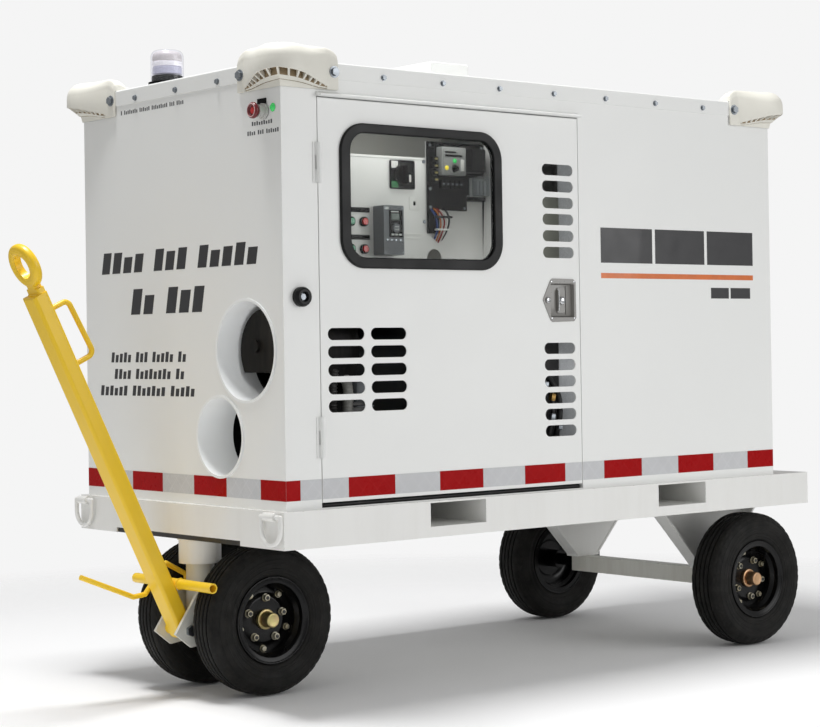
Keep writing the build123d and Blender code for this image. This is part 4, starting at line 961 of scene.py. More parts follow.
# ============================ beacon =======================================
def make_beacon():
    dome = Piece()
    dome.lathe([(0.0, 1.6522), (0.0445, 1.6522), (0.045, 1.6530), (0.045, 1.7215),
                (0.0446, 1.726), (0.0430, 1.7305), (0.0402, 1.7350), (0.0362, 1.7383),
                (0.031, 1.7402), (0.026, 1.7408), (0.0, 1.7409)], BEACON, UP, 72)
    lens = dome.make("beacon_dome", "root", ["beacon_lens"], slot="clear_lens", sharp=30)
    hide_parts("beacon_lens")

    # the inner optic glows though the beacon is off: painted light, its bright waist band a painted
    # highlight
    FROSTED, HOLDER, HIGHLIGHT_BAND, CAP = range(4)
    ringed = [(0.0, 1.6745), (0.0405, 1.6745)]
    for i in range(5):
        z = 1.6760 + i * 0.0034
        ringed += [(0.0398, z), (0.0408, z + 0.0012), (0.0398, z + 0.0030)]
    ringed += [(0.0385, 1.6945), (0.0, 1.6950)]
    optic = Piece()
    optic.lathe([(0.0, 1.6525), (0.0425, 1.6525), (0.0425, 1.6680), (0.0415, 1.6700),
                 (0.0200, 1.6705), (0.0180, 1.6740), (0.0, 1.6740)], BEACON, UP, 64, HOLDER)
    optic.lathe(ringed, BEACON, UP, 72, FROSTED)
    optic.lathe([(0.0, 1.6960), (0.0392, 1.6960), (0.0410, 1.6985), (0.0414, 1.7035),
                 (0.0406, 1.7080), (0.0385, 1.7095), (0.0, 1.7100)], BEACON, UP, 72, HIGHLIGHT_BAND)
    optic.lathe([(0.0, 1.7110), (0.0395, 1.7110), (0.0405, 1.7150), (0.0400, 1.7240),
                 (0.0380, 1.7300), (0.0330, 1.7345), (0.0250, 1.7365), (0.0, 1.7370)],
                BEACON, UP, 72, CAP)
    optic.make("beacon_inner_optic", "root",
               ["frosted_lilac", "black_plastic", "frosted_bright", "frosted_warm"],
               slot="clear_lens", sharp=30)


# ============================ emergency stop ===============================
def make_estop():
    """Mushroom button facing the tow end. Its body and rim take a darker red as painted shade, and a
    pale ring on the rim crest is a painted highlight.
    """
    # the body and rim take the darker red as painted shade; the centre cap is the plain red
    RED, DARK, HIGHLIGHT_RING = range(3)
    place, axis = (-0.9505, -0.409, 1.517), (-1, 0, 0)
    piece = Piece()
    piece.lathe([(0, -0.017), (0.0125, -0.017), (0.0118, -0.010), (0.0112, -0.002), (0.0130, 0.0),
                 (0.0190, 0.0002), (0.0203, 0.0010), (0.0206, 0.0024), (0.0206, 0.0050),
                 (0.0199, 0.0078), (0.0184, 0.0098), (0.0166, 0.0107), (0.0146, 0.0104),
                 (0.0130, 0.0090), (0.0112, 0.0066), (0.0098, 0.0052), (0.0, 0.0050)],
                place, axis, 72, DARK)
    piece.lathe([(0.0, 0.0045), (0.0088, 0.0045), (0.0088, 0.0058), (0.0070, 0.0072),
                 (0.0040, 0.0080), (0.0, 0.0082)], place, axis, 48, RED)
    # pale ring on the rim crest: painted highlight
    piece.lathe([(0.0150, 0.0098), (0.0176, 0.0098), (0.0174, 0.0108), (0.0163, 0.0114),
                 (0.0153, 0.0110), (0.0150, 0.0098)], place, axis, 72, HIGHLIGHT_RING)
    button = piece.make("estop_mushroom", "estop", ["red_plastic", "dark_red_plastic", "pale_ring"],
                        slot="red_plastic", sharp=30)
    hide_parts("estop_button")


# ============================ tyres ========================================
RIB_EDGE, GROOVE_LIP, SHOULDER = 1, 2, 3
TYRE_SEGMENTS = 252
# radius, distance from the middle plane (mm), kind of point: 0 is plain
TYRE_OUTSIDE = [
    (199.6, 0.0, 0), (199.5, 5.0, 1), (199.2, 5.6, 2), (193.4, 6.2, 0), (193.2, 9.8, 0),
    (199.0, 10.4, 2), (199.3, 11.0, 1), (199.1, 16, 0), (198.9, 21.0, 1), (198.6, 21.6, 2),
    (192.8, 22.2, 0), (192.8, 26.0, 0), (198.0, 26.6, 2), (198.2, 27.2, 1), (197.9, 31, 0),
    (197.2, 35.6, 1), (196.2, 38.6, 1), (194.2, 42.4, 3), (191.2, 44.9, 3), (190.2, 45.2, 0),
    (189.4, 46.4, 0), (188.2, 48.4, 3), (185.0, 50.9, 3), (181.0, 52.9, 3), (178.6, 53.8, 0),
    (178.0, 53.2, 0), (176.6, 53.4, 0), (176.2, 54.6, 0), (173.0, 55.4, 0), (167.0, 56.2, 0),
    (161.6, 56.4, 0), (161.0, 57.1, 0), (158.6, 57.2, 0), (158.0, 56.5, 0), (152.0, 56.6, 0),
    (151.2, 57.1, 0), (149.4, 57.0, 0), (148.8, 56.1, 0), (143.0, 54.6, 0), (138.2, 52.7, 0),
    (137.4, 53.5, 0), (135.2, 53.2, 0), (134.6, 52.2, 0), (131.0, 51.6, 0), (129.2, 51.9, 0),
    (127.6, 51.0, 0), (126.8, 49.8, 0), (123.0, 48.8, 0), (120.4, 47.4, 0), (118.6, 45.6, 0),
    (117.4, 44.0, 0)]
TYRE_INSIDE = [
    (112.0, 43.85, 0), (101.6, 43.8, 0), (101.6, 34, 0), (108, 32, 0), (125, 41, 0),
    (150, 47.2, 0), (170, 46.2, 0), (183, 38.6, 0), (187.3, 22, 0), (188.3, 0, 0)]
VALVE_RADIUS = 0.0885


def make_tyre(name, wheel_x, wheel_y, side):
    """Ribbed tyre: four grooves, siped rib edges, shoulder notches, ringed sidewalls."""
    loop = TYRE_OUTSIDE + TYRE_INSIDE
    loop = loop + [(r, -y, kind) for r, y, kind in loop[1:-1]][::-1]
    count = len(loop)
    vertices, faces = [], []
    for i in range(TYRE_SEGMENTS):
        a = 2 * math.pi * i / TYRE_SEGMENTS
        for r, y, kind in loop:
            if kind == GROOVE_LIP and i % 3 == 0:
                r -= 1.9
            elif kind == RIB_EDGE and i % 3 == 0:
                r -= 0.9
            elif kind == SHOULDER and i % 6 < 2:
                r -= 0.9
                y -= math.copysign(0.8, y)
            vertices.append((wheel_x + r * MM * math.cos(a), wheel_y + y * MM * side,
                             AXLE_Z + r * MM * math.sin(a)))
    for i in range(TYRE_SEGMENTS):
        a, b = i * count, ((i + 1) % TYRE_SEGMENTS) * count
        for k in range(count):
            j = (k + 1) % count
            faces.append((a + k, a + j, b + j, b + k))
    piece = Piece()
    piece.add(vertices, faces)
    # groups of raised plain bars round both sidewalls
    bar_angle = math.radians(1.4)
    for wall in (-1, 1):
        for group in range(12):
            for bar in range(5 if group % 3 else 2):
                a = math.radians(group * 30 + 8) + math.radians(bar * 2.6)
                vertices = []
                for out in (0.0562, 0.0570):
                    for r, turn in ((0.1636, a), (0.1700, a), (0.1700, a + bar_angle),
                                    (0.1636, a + bar_angle)):
                        drop = -0.0008 if r > 0.166 else 0.0
                        vertices.append((wheel_x + r * math.cos(turn),
                                         wheel_y + wall * (out + drop - 0.0002),
                                         AXLE_Z + r * math.sin(turn)))
                piece.add(vertices, PRISM_FACES)
    obj = piece.make("tread_tyre_" + name, "wheel_" + name, ["tyre"], slot="tyre_rubber", sharp=28)
    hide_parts("tyre_" + name)


def make_valve(name, wheel_x, wheel_y, side, angle):
    c, s = math.cos(angle), math.sin(angle)

    def spot(inward, out):
        return (wheel_x + VALVE_RADIUS * c - inward * c, wheel_y + side * out,
                AXLE_Z + VALVE_RADIUS * s - inward * s)

    piece = Piece()
    piece.tube([spot(0, 0.016), spot(0.004, 0.030), spot(0.007, 0.045)], 0.0040, 0, 14)
    piece.lathe([(0, 0), (0.0046, 0), (0.0046, 0.008), (0.0036, 0.0095), (0, 0.0098)],
                spot(0.007, 0.044), (0, side, 0), 16, 1)
    piece.make("valve_" + name, "wheel_" + name, ["black_rubber", "black_plastic"])


# ============================ wheels =======================================
# radius, distance outwards along the axle
RIM = [
    (0.1166, -0.048), (0.1166, -0.044), (0.1013, -0.044), (0.1013, -0.030), (0.0910, -0.022),
    (0.0910, 0.018), (0.1013, 0.028), (0.1013, 0.0435), (0.1160, 0.0440), (0.1168, 0.0448),
    (0.1170, 0.0460), (0.1166, 0.0476), (0.1154, 0.0490), (0.1136, 0.0495), (0.1118, 0.0490),
    (0.1104, 0.0478), (0.1085, 0.0466), (0.1010, 0.0462), (0.0988, 0.0456), (0.0976, 0.0440),
    (0.0974, 0.0320), (0.0966, 0.0296), (0.0880, 0.0212), (0.0872, 0.0190), (0.0870, -0.024),
    (0.0975, -0.032), (0.0975, -0.046), (0.1100, -0.046), (0.1130, -0.048), (0.1166, -0.048)]
DISC = [
    (0.0150, 0.0068), (0.0300, 0.0072), (0.0560, 0.0072), (0.0590, 0.0070), (0.0622, 0.0060),
    (0.0680, 0.0020), (0.0705, 0.0006), (0.0740, 0.0), (0.0876, 0.0), (0.0876, -0.005),
    (0.0720, -0.005), (0.0640, -0.003), (0.0570, 0.002), (0.0290, 0.002), (0.0290, -0.050),
    (0.0158, -0.050), (0.0150, 0.0068)]
NUT_FLANGE = [(0.0, 0.0068), (0.0112, 0.0068), (0.0113, 0.0082), (0.0106, 0.0094),
              (0.0094, 0.0098), (0.0, 0.0100)]
NUT = [(0.0, 0.0094), (0.0096, 0.0094), (0.0097, 0.0170), (0.0088, 0.0186), (0.0058, 0.0190),
       (0.0, 0.0190)]
STUD = [(0.0, 0.0186), (0.0048, 0.0186), (0.0050, 0.0196), (0.0044, 0.0208), (0.0, 0.0210)]
BOLT_WASHER = [(0.0, -0.0004), (0.0098, -0.0004), (0.0098, 0.0012), (0.0090, 0.0018),
               (0.0, 0.0018)]
BOLT_HEAD = [(0.0, 0.0014), (0.0082, 0.0014), (0.0082, 0.0068), (0.0072, 0.0082), (0.0, 0.0086)]
BEARING_COLLAR = [
    (0.0158, 0.0060), (0.0272, 0.0060), (0.0276, 0.0120), (0.0270, 0.0148), (0.0250, 0.0160),
    (0.0222, 0.0162), (0.0205, 0.0150), (0.0158, 0.0150), (0.0158, 0.0060)]
HUB_CAP = [
    (0.0, 0.0140), (0.0200, 0.0140), (0.0202, 0.0168), (0.0206, 0.0180), (0.0206, 0.0198),
    (0.0200, 0.0210), (0.0199, 0.0430), (0.0196, 0.0452), (0.0186, 0.0468), (0.0170, 0.0476),
    (0.0150, 0.0477), (0.0135, 0.0473), (0.0, 0.0472)]
LUG_CIRCLE = 0.05715        # radius
BOLT_CIRCLE = 0.0785        # radius
LUG_COUNT = 5


def make_wheel(name, wheel_x, wheel_y, side, nut_angle):
    """Rolled rim, dished disc, lug nuts on studs, rim bolts and a pressed hub cap."""
    BLACK, FASTENER, PLATED, DARK = range(4)
    axis = (0, side, 0)
    centre = (wheel_x, wheel_y, AXLE_Z)
    piece = Piece()
    piece.lathe(RIM, centre, axis, 96, BLACK)
    piece.lathe(DISC, centre, axis, 96, BLACK)
    for i in range(LUG_COUNT):
        a = math.radians(nut_angle + 360 // LUG_COUNT * i)
        lug = (wheel_x + LUG_CIRCLE * math.cos(a), wheel_y, AXLE_Z + LUG_CIRCLE * math.sin(a))
        piece.lathe(NUT_FLANGE, lug, axis, 28, FASTENER)
        piece.lathe(NUT, lug, axis, 6, FASTENER, a)
        piece.lathe(STUD, lug, axis, 18, DARK)
        b = a + math.radians(180 / LUG_COUNT)
        bolt = (wheel_x + BOLT_CIRCLE * math.cos(b), wheel_y, AXLE_Z + BOLT_CIRCLE * math.sin(b))
        piece.lathe(BOLT_WASHER, bolt, axis, 24, FASTENER)
        piece.lathe(BOLT_HEAD, bolt, axis, 6, FASTENER, b)
    piece.lathe(BEARING_COLLAR, centre, axis, 64, PLATED)
    piece.lathe(HUB_CAP, centre, axis, 64, PLATED)
    plating = "yellow_zinc" if name.startswith("front") else "bronze_zinc"
    obj = piece.make("disc_wheel_" + name, "wheel_" + name,
                     ["black_gloss_rim", "dull_nut", plating, "black_inside"],
                     slot="black_paint", sharp=32)
    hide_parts("wheel_" + name)


def make_wheels():
    for name, (x, y, _, nut_angle) in WHEELS.items():
        side = -1 if y < 0 else 1
        make_tyre(name, x, y, side)
        make_valve(name, x, y, side, math.radians(nut_angle))
    for name, (x, y, _, nut_angle) in WHEELS.items():
        make_wheel(name, x, y, -1 if y < 0 else 1, nut_angle)


# ============================ control panel ================================
def make_panel_labels():
    SCREW, BLACK, LABEL, TRIM = range(4)
    piece = Piece()
    # legend plates by the push-buttons, labels, screws and the top strip
    piece.slabs(PANEL_Y, [
        (-0.606, -0.524, 1.279, 1.292, 0.0016, 0.0001, BLACK, 0.0003),
        (-0.606, -0.524, 1.206, 1.219, 0.0016, 0.0001, BLACK, 0.0003),
        (-0.386, -0.350, 1.291, 1.326, 0.0009, 0.0001, LABEL, 0.0002),
        (-0.372, -0.364, 1.303, 1.314, 0.0012, 0.0001, BLACK, 0.0002),
        (-0.430, -0.345, 1.222, 1.228, 0.0009, 0.0001, LABEL, 0.0002),
        (-0.425, -0.350, 1.211, 1.217, 0.0009, 0.0001, LABEL, 0.0002),
        (-0.700, -0.640, 1.150, 1.190, 0.0009, 0.0001, LABEL, 0.0002),
        (-0.700, -0.640, 1.330, 1.350, 0.0009, 0.0001, LABEL, 0.0002),
    ])
    for x in (-0.712, -0.333):
        for z in (1.10, 1.26, 1.424):
            piece.boss(x, PANEL_Y, z, [(0.005, -0.0001), (0.005, 0.0018), (0.0035, 0.003),
                                       (0, 0.003)], 20, SCREW)
    piece.slabs(PANEL_Y, [(-0.720, -0.325, 1.427, 1.433, 0.0012, 0.0001, TRIM, 0.0004)])
    piece.make("panel_labels_and_screws", "root",
               ["zinc", "black_plastic", "label_white", "inner_panel"])


def make_disconnect():
    GREEN, WHITE, DOT = range(3)
    legend = Piece()
    legend.slabs(PANEL_Y, [(-0.451, -0.428, 1.402, 1.421, 0.0068, 0.0061, WHITE, 0.0001),
                           (-0.451, -0.428, 1.349, 1.366, 0.0068, 0.0061, GREEN, 0.0001)])
    for degrees in range(0, 360, 30):
        a = math.radians(degrees)
        legend.boss(KNOB_X + 0.028 * math.cos(a), PANEL_Y - 0.009, KNOB_Z + 0.028 * math.sin(a),
                    [(0.0011, 0.0), (0.0011, 0.0004), (0, 0.0004)], 10, DOT)
    legend.make("disconnect_legend", "root", ["label_green", "label_white", "label_white"])
    pointer = Piece()
    pointer.slabs(PANEL_Y, [(KNOB_X - 0.0033, KNOB_X + 0.0033, 1.3625, 1.3815,
                             0.0372, 0.0359, 0, 0.0005)])
    pointer.boss(KNOB_X, PANEL_Y - 0.0359, KNOB_Z,
                 [(0.0036, 0), (0.0034, 0.0008), (0, 0.0010)], 18, 1)
    pointer.make("disconnect_pointer", "disconnect", ["label_white", "black_plastic"])


def make_drive_keypad():
    DISPLAY, LIGHT, SCREW, GREY = range(1, 5)
    dial_x, dial_z = -0.4705, 1.2365
    piece = Piece()
    piece.slabs(DRIVE_Y, [(-0.4865, -0.4585, 1.2575, 1.2755, -0.0005, -0.0016, DISPLAY, 0.0001)])
    piece.boss(dial_x, DRIVE_Y, dial_z,
               [(0.0125, 0), (0.0125, 0.0012), (0.0112, 0.0022), (0.0085, 0.0022),
                (0.0080, 0.0014), (0, 0.0014)], 32, GREY)
    for i in range(4):
        a = math.radians(45 + 90 * i)
        piece.boss(dial_x + 0.0052 * math.cos(a), DRIVE_Y - 0.001, dial_z + 0.0052 * math.sin(a),
                   [(0.0022, 0), (0.0022, 0.0022), (0, 0.0026)], 12, LIGHT)
    piece.slabs(DRIVE_Y, [(-0.4875 + i * 0.0125, -0.4785 + i * 0.0125, 1.2165, 1.2215,
                           0.0012, -0.0002, LIGHT, 0.0004) for i in range(3)])
    piece.slabs(PANEL_Y, [(-0.5085, -0.494, 1.286, 1.293, 0.0454, 0.0449, LIGHT, 0.0002)])
    piece.slabs(DRIVE_Y, [(-0.4885, -0.4625, 1.2785, 1.2815, 0.0002, -0.0002, LIGHT, 0.0001)])
    front = PANEL_Y - 0.0451
    for i in range(4):
        piece.boss(-0.500 + i * 0.015, front, 1.205,
                   [(0.0028, 0), (0.0028, 0.001), (0, 0.001)], 14, SCREW)
    for z in (1.172, 1.290):
        for x in (-0.507, -0.446):
            piece.boss(x, front, z, [(0.0022, 0), (0.0022, 0.0009), (0, 0.0009)], 12, SCREW)
    piece.make("drive_keypad_details", "root",
               ["black_plastic", "lcd", "light_plastic", "zinc", "grey_plastic"])


def make_controller_lamps():
    GREEN, YELLOW, _, BLACK, LABEL = range(5)
    lamp = [(0.0062, 0), (0.0062, 0.0020), (0.004, 0.0036), (0, 0.0038)]
    piece = Piece()
    piece.boss(-0.250, CONTROLLER_Y, 1.427, lamp, 24, GREEN)
    piece.boss(-0.279, CONTROLLER_Y, 1.407, lamp, 24, YELLOW)
    piece.boss(-0.250, CONTROLLER_Y, 1.406, [(0.0105, 0), (0.0100, 0.0006), (0, 0.0006)],
               28, BLACK)
    piece.slabs(CONTROLLER_Y, [
        (-0.284, -0.222, 1.438, 1.444, 0.0008, -0.0002, BLACK, 0.0001),
        (-0.284, -0.244, 1.448, 1.453, 0.0008, -0.0002, BLACK, 0.0001),
        (-0.228, -0.216, 1.400, 1.432, 0.0008, -0.0002, LABEL, 0.0001),
    ])
    piece.make("controller_lamps", "root",
               ["lamp_green", "led_yellow", "lcd", "black_plastic", "label_white"])


def make_relay_cover_fittings():
    """Studs, small breakers and a slatted box on the black relay cover."""
    STUD_ZINC, BLACK, YELLOW, SLAT = range(4)
    piece = Piece()
    for x, z in ((-0.318, 1.470), (-0.130, 1.470), (-0.318, 1.350), (-0.130, 1.350),
                 (-0.318, 1.300), (-0.196, 1.300)):
        piece.boss(x, PANEL_Y - 0.009, z,
                   [(0.0045, 0), (0.0042, 0.0018), (0.003, 0.0026), (0, 0.0028)], 18, STUD_ZINC)
    for i in range(4):
        drop = i * 0.019
        piece.slabs(PANEL_Y, [
            (-0.316, -0.298, 1.424 - drop, 1.438 - drop, 0.0215, 0.0091, BLACK, 0.001),
            (-0.311, -0.303, 1.429 - drop, 1.434 - drop, 0.0265, 0.0214, YELLOW, 0.0008),
        ])
    for i in range(5):
        shift = i * 0.016
        piece.slabs(PANEL_Y, [(-0.287 + shift, -0.275 + shift, 1.352, 1.376,
                               0.023, 0.0091, BLACK, 0.001)])
        piece.boss(-0.281 + shift, PANEL_Y - 0.023, 1.364,
                   [(0.003, 0), (0.003, 0.001), (0, 0.001)], 12, STUD_ZINC)
    piece.slabs(PANEL_Y, [(-0.200, -0.150, 1.398, 1.462, 0.050, 0.0091, BLACK, 0.003)])
    piece.slabs(PANEL_Y, [(-0.198, -0.152, 1.404 + i * 0.011, 1.409 + i * 0.011,
                           0.0512, 0.0499, SLAT, 0.0005) for i in range(5)])
    piece.make("relay_cover_fittings", "root",
               ["zinc", "black_plastic", "yellow_zinc", "wire_black"])


def make_relay():
    """Socketed relay under a clear cover."""
    base = Piece()
    base.slabs(PANEL_Y, [(-0.180, -0.128, 1.320, 1.332, 0.022, 0.0021, 0, 0.001),
                         (-0.176, -0.132, 1.332, 1.384, 0.020, 0.0021, 2, 0.001)])
    base.slabs(PANEL_Y, [(-0.172 + i * 0.013, -0.164 + i * 0.013, 1.336, 1.376,
                          0.036, 0.020, 1, 0.0006) for i in range(3)])
    base.make("relay_base", "root", ["black_plastic", "zinc", "light_plastic"])
    cover = Piece()
    cover.slabs(PANEL_Y, [(-0.178, -0.130, 1.334, 1.388, 0.044, 0.0205, 0, 0.003)])
    cover.make("relay_cover", "root", ["relay_cover"])


def make_wiring_loom():
    """Five wires in front of the panel, held by two straps."""
    BLACK, RED, ORANGE, BLUE, WHITE = range(5)
    # radius, slot, then points as x, distance ahead of the panel, z
    wires = [
        (0.0024, BLUE, [(-0.318, 0.003, 1.298), (-0.312, 0.016, 1.286), (-0.306, 0.022, 1.262),
                        (-0.302, 0.018, 1.236), (-0.300, 0.003, 1.214)]),
        (0.0022, ORANGE, [(-0.308, 0.003, 1.300), (-0.302, 0.018, 1.288), (-0.294, 0.025, 1.262),
                          (-0.292, 0.018, 1.234), (-0.294, 0.003, 1.208)]),
        (0.0022, RED, [(-0.298, 0.003, 1.300), (-0.291, 0.020, 1.286), (-0.282, 0.028, 1.262),
                       (-0.284, 0.020, 1.234), (-0.288, 0.003, 1.204)]),
        (0.0020, WHITE, [(-0.286, 0.003, 1.298), (-0.279, 0.020, 1.284), (-0.272, 0.026, 1.260),
                         (-0.276, 0.018, 1.232), (-0.282, 0.003, 1.206)]),
        (0.0026, BLACK, [(-0.276, 0.003, 1.302), (-0.268, 0.018, 1.290), (-0.262, 0.024, 1.266),
                         (-0.268, 0.020, 1.236), (-0.276, 0.003, 1.210)]),
    ]
    piece = Piece()
    for radius, slot, points in wires:
        path = [(x, PANEL_Y - ahead, z) for x, ahead, z in points]
        piece.tube(round_corners(path), radius, slot, 10)
    piece.slabs(PANEL_Y, [(-0.314, -0.256, 1.270, 1.276, 0.030, 0.014, BLACK, 0.002),
                          (-0.308, -0.262, 1.236, 1.241, 0.028, 0.012, WHITE, 0.002)])
    piece.make("wiring_loom", "root",
               ["wire_black", "wire_red", "wire_orange", "wire_blue", "label_white"])


# ============================ behind the louvres ===========================
def corrugated(radius, depth, count):
    return lambda t: radius + depth * math.sin(t * 2 * math.pi * count)


def make_hoses():
    PIPE, BLACK, FITTING, DARK, GREY, ZINC = range(6)
    piece = Piece()
    # pipe, hose and bracket behind the lower front louvres
    piece.tube(resample([(-0.700, -0.436, 0.600), (-0.697, -0.436, 0.700), (-0.690, -0.436, 0.760),
                         (-0.684, -0.434, 0.815), (-0.690, -0.420, 0.850),
                         (-0.720, -0.395, 0.875)], 160), corrugated(0.0135, 0.0006, 36), PIPE, 18)
    piece.tube(resample([(-0.735, -0.430, 0.600), (-0.738, -0.432, 0.730), (-0.741, -0.434, 0.790),
                         (-0.735, -0.432, 0.850), (-0.715, -0.420, 0.895),
                         (-0.69, -0.38, 0.93)], 190), corrugated(0.0140, 0.0014, 40), DARK, 16)
    piece.blocks([
        (-0.662, -0.622, -0.440, -0.400, 0.797, 0.834, GREY, 0.003),
        (-0.668, -0.610, -0.446, -0.400, 0.7795, 0.7835, GREY, 0.001),
        (-0.668, -0.610, -0.446, -0.400, 0.7655, 0.7690, GREY, 0.001),
        (-0.668, -0.610, -0.404, -0.400, 0.600, 0.834, DARK, 0.001),
    ])
    # three lines with hexagonal fittings behind the lower rear louvres
    for x, radius, slot in ((-0.010, 0.0075, BLACK), (0.022, 0.0060, DARK), (0.050, 0.0085, BLACK)):
        path = [(x, -0.40, 0.600), (x + 0.006, -0.428, 0.668), (x + 0.018, -0.434, 0.730),
                (x + 0.012, -0.43, 0.790), (x - 0.02, -0.40, 0.850), (x - 0.04, -0.34, 0.880)]
        piece.tube(round_corners(path), radius, slot, 14)
    for x, z, slot in ((-0.006, 0.742, FITTING), (0.034, 0.716, ZINC), (0.036, 0.772, FITTING),
                       (0.062, 0.690, ZINC), (0.010, 0.806, ZINC)):
        piece.lathe([(0, -0.010), (0.0095, -0.010), (0.0110, -0.008), (0.0110, 0.008),
                     (0.0095, 0.010), (0, 0.010)], (x, -0.434, z), (0.2, 0, 1), 6, slot)
    # dark sheet behind the lines: painted shade deep in the bay
    piece.blocks([(-0.050, 0.100, -0.395, -0.390, 0.600, 0.930, DARK, 0.002)])
    piece.make("engine_hoses", "root",
               ["hose_grey", "wire_black", "brass", "black_inside", "grey_plastic", "zinc"])


def make_bulkhead():
    piece = Piece()
    piece.blocks([
        (-0.108, 0.1040, -0.400, -0.396, 1.110, 1.336, 0, 0.001),
        # the two lower plates take the darker copy of the bulkhead colour as painted shade
        (-0.108, 0.1040, -0.392, -0.388, 0.852, 1.030, 1, 0.001),
        (-0.108, 0.1040, -0.372, -0.368, 0.560, 0.850, 1, 0.001),
    ])
    # staggered bars on the lowest plate, in the same darker painted shade
    for i, z in enumerate((0.640, 0.676, 0.712, 0.748, 0.784, 0.820)):
        piece.blocks([(0.046 + 0.004 * (i % 2), 0.092, -0.3860, -0.3722, z - 0.012, z + 0.010,
                       1, 0.002)])
    piece.make("side_bulkhead", "root", ["bulkhead", "bulkhead_dark"])


def make_door_surround():
    """Folded jamb beside the door's free edge, and the seal along the sill. The jamb glows faintly:
    painted light that lifts it out of its shade.
    """
    jamb = Piece()
    for z0, z1, back in ((0.5335, 0.975, -0.3735), (1.110, 1.549, -0.3965)):
        jamb.blocks([(0.1046, 0.1074, -0.4540, back, z0, z1, 0, 0.0006),
                     (0.1046, 0.1300, -0.4225, -0.4195, z0, z1, 0, 0.0006)])
    jamb.blocks([(0.1057, 0.1079, -0.4745, -0.4700, 0.5335, 1.549, 0, 0.0005)])
    jamb.make("door_jamb_return", "root", ["jamb_white"], sharp=None)
    seal = Piece()
    seal.tube(resample([(x, -0.4655, 0.5205) for x in (-0.800, -0.3, 0.100)], 60),
              lambda t: 0.0070 + 0.0002 * math.sin(t * 300))
    seal.make("door_sill_seal", "root", ["black_rubber"])


# ============================ latch ========================================
def make_latch():
    face = Piece()
    face.boss(-0.019, -0.4826, 1.043, [(0.0078, 0), (0.0078, 0.0010), (0.0066, 0.0021),
                                       (0.0046, 0.0026), (0, 0.0027)], 36)
    face.blocks([(-0.0200, -0.0182, -0.4856, -0.4850, 1.0385, 1.0475, 1, 0.0001)])
    for x in (-0.003, 0.083):
        for z in (1.094, 0.992):
            face.boss(x, -0.4801, z, [(0.0032, 0), (0.0030, 0.0007), (0.002, 0.0011),
                                      (0, 0.0012)], 18)
    face.make("latch_lock_face", "door", ["bright_steel", "black_plastic"])
    tray = Piece()
    tray.blocks([(-0.0060, 0.0805, -0.4702, -0.4690, 0.9980, 1.0860, 0, 0.0008),
                 (0.0575, 0.0600, -0.4725, -0.4650, 1.0020, 1.0820, 0, 0.0006)])
    tray.make("latch_tray_step", "door", ["satin_grey"])
    handle = Piece()
    handle.boss(0.0375, -0.4796, 1.042, [(0.0105, 0), (0.0105, 0.0012), (0.0090, 0.0030),
                                         (0.0060, 0.0042), (0, 0.0046)], 36)
    handle.tube([(0.0240, -0.4795, 1.012), (0.0240, -0.4802, 1.030), (0.0240, -0.4802, 1.054),
                 (0.0240, -0.4795, 1.072)], 0.0013)
    handle.make("latch_boss", "latch", ["bright_steel"])


# ============================ weld beads ===================================
def make_welds():
    chassis = Piece()
    chassis.ring_weld((-0.861, 0, 0.4145), UP, 0.0575, 0.0035)
    for side in (-1, 1):
        y = side * 0.2585
        chassis.weld((0.604, y, 0.417), (0.792, y, 0.228), 0.003)
        chassis.weld((1.054, y, 0.417), (0.878, y, 0.228), 0.003)
    chassis.make("chassis_weld_beads", "root", ["white_chassis"])

    yoke = Piece()
    yoke.ring_weld((-0.861, 0, 0.2895), UP, 0.0385, 0.0032)
    yoke.make("yoke_weld_beads", "yoke", ["white_running_gear"])

    # the towbar slopes up from its foot; behind is square to it
    bar, behind = Vector((-0.4305, 0, 0.9026)), Vector((0.9026, 0, 0.4305))
    top = Vector((-0.938, 0, 0.151)) + bar * 1.001
    towbar = Piece()
    for side in (-1, 1):
        edge = Vector((0, side * 0.0262, 0))
        towbar.weld(top + behind * 0.018 + edge, top + behind * 0.044 + edge, 0.0034)
        towbar.ring_weld((-0.946, side * 0.0325, 0.301), (0, 1, 0), 0.0140, 0.0022, steps=60)
    front = top + behind * 0.0178
    towbar.weld(front + Vector((0, -0.026, 0)), front + Vector((0, 0.026, 0)), 0.0034)
    for centre in ((-1.3065, 0, 1.0274), (-1.2388, 0, 0.8855)):
        towbar.ring_weld(centre, (0.9026, 0, 0.4305), 0.0082, 0.0020, steps=50)
    towbar.make("towbar_weld_beads", "drawbar", ["yellow_towbar"])


# ============================ stage ========================================
def make_floor():
    """Pale floor that fades into the plain backdrop far from the cart."""
    mat = Shader("floor")
    color = mat.mix(mat.remap(mat.noise(0.6, detail=3), (0.3, 0.7)),
                    (0.90, 0.90, 0.905, 1), (0.91, 0.91, 0.912, 1))
    matt = mat.principled(Base_Color=color, Roughness=0.9, Specular_IOR_Level=0.0)
    distance = mat.node("ShaderNodeVectorMath", {0: mat.position}, operation="LENGTH")
    fade = mat.remap(distance.outputs["Value"], (1.9, 3.1))
    nothing = mat.node("ShaderNodeBsdfTransparent").outputs[0]
    bpy.ops.mesh.primitive_plane_add(size=80, location=(0, 0, -0.0005))
    floor = bpy.context.object
    floor.name = "floor"
    floor.data.materials.append(mat.surface(mat.mix_shader(fade, matt, nothing)))


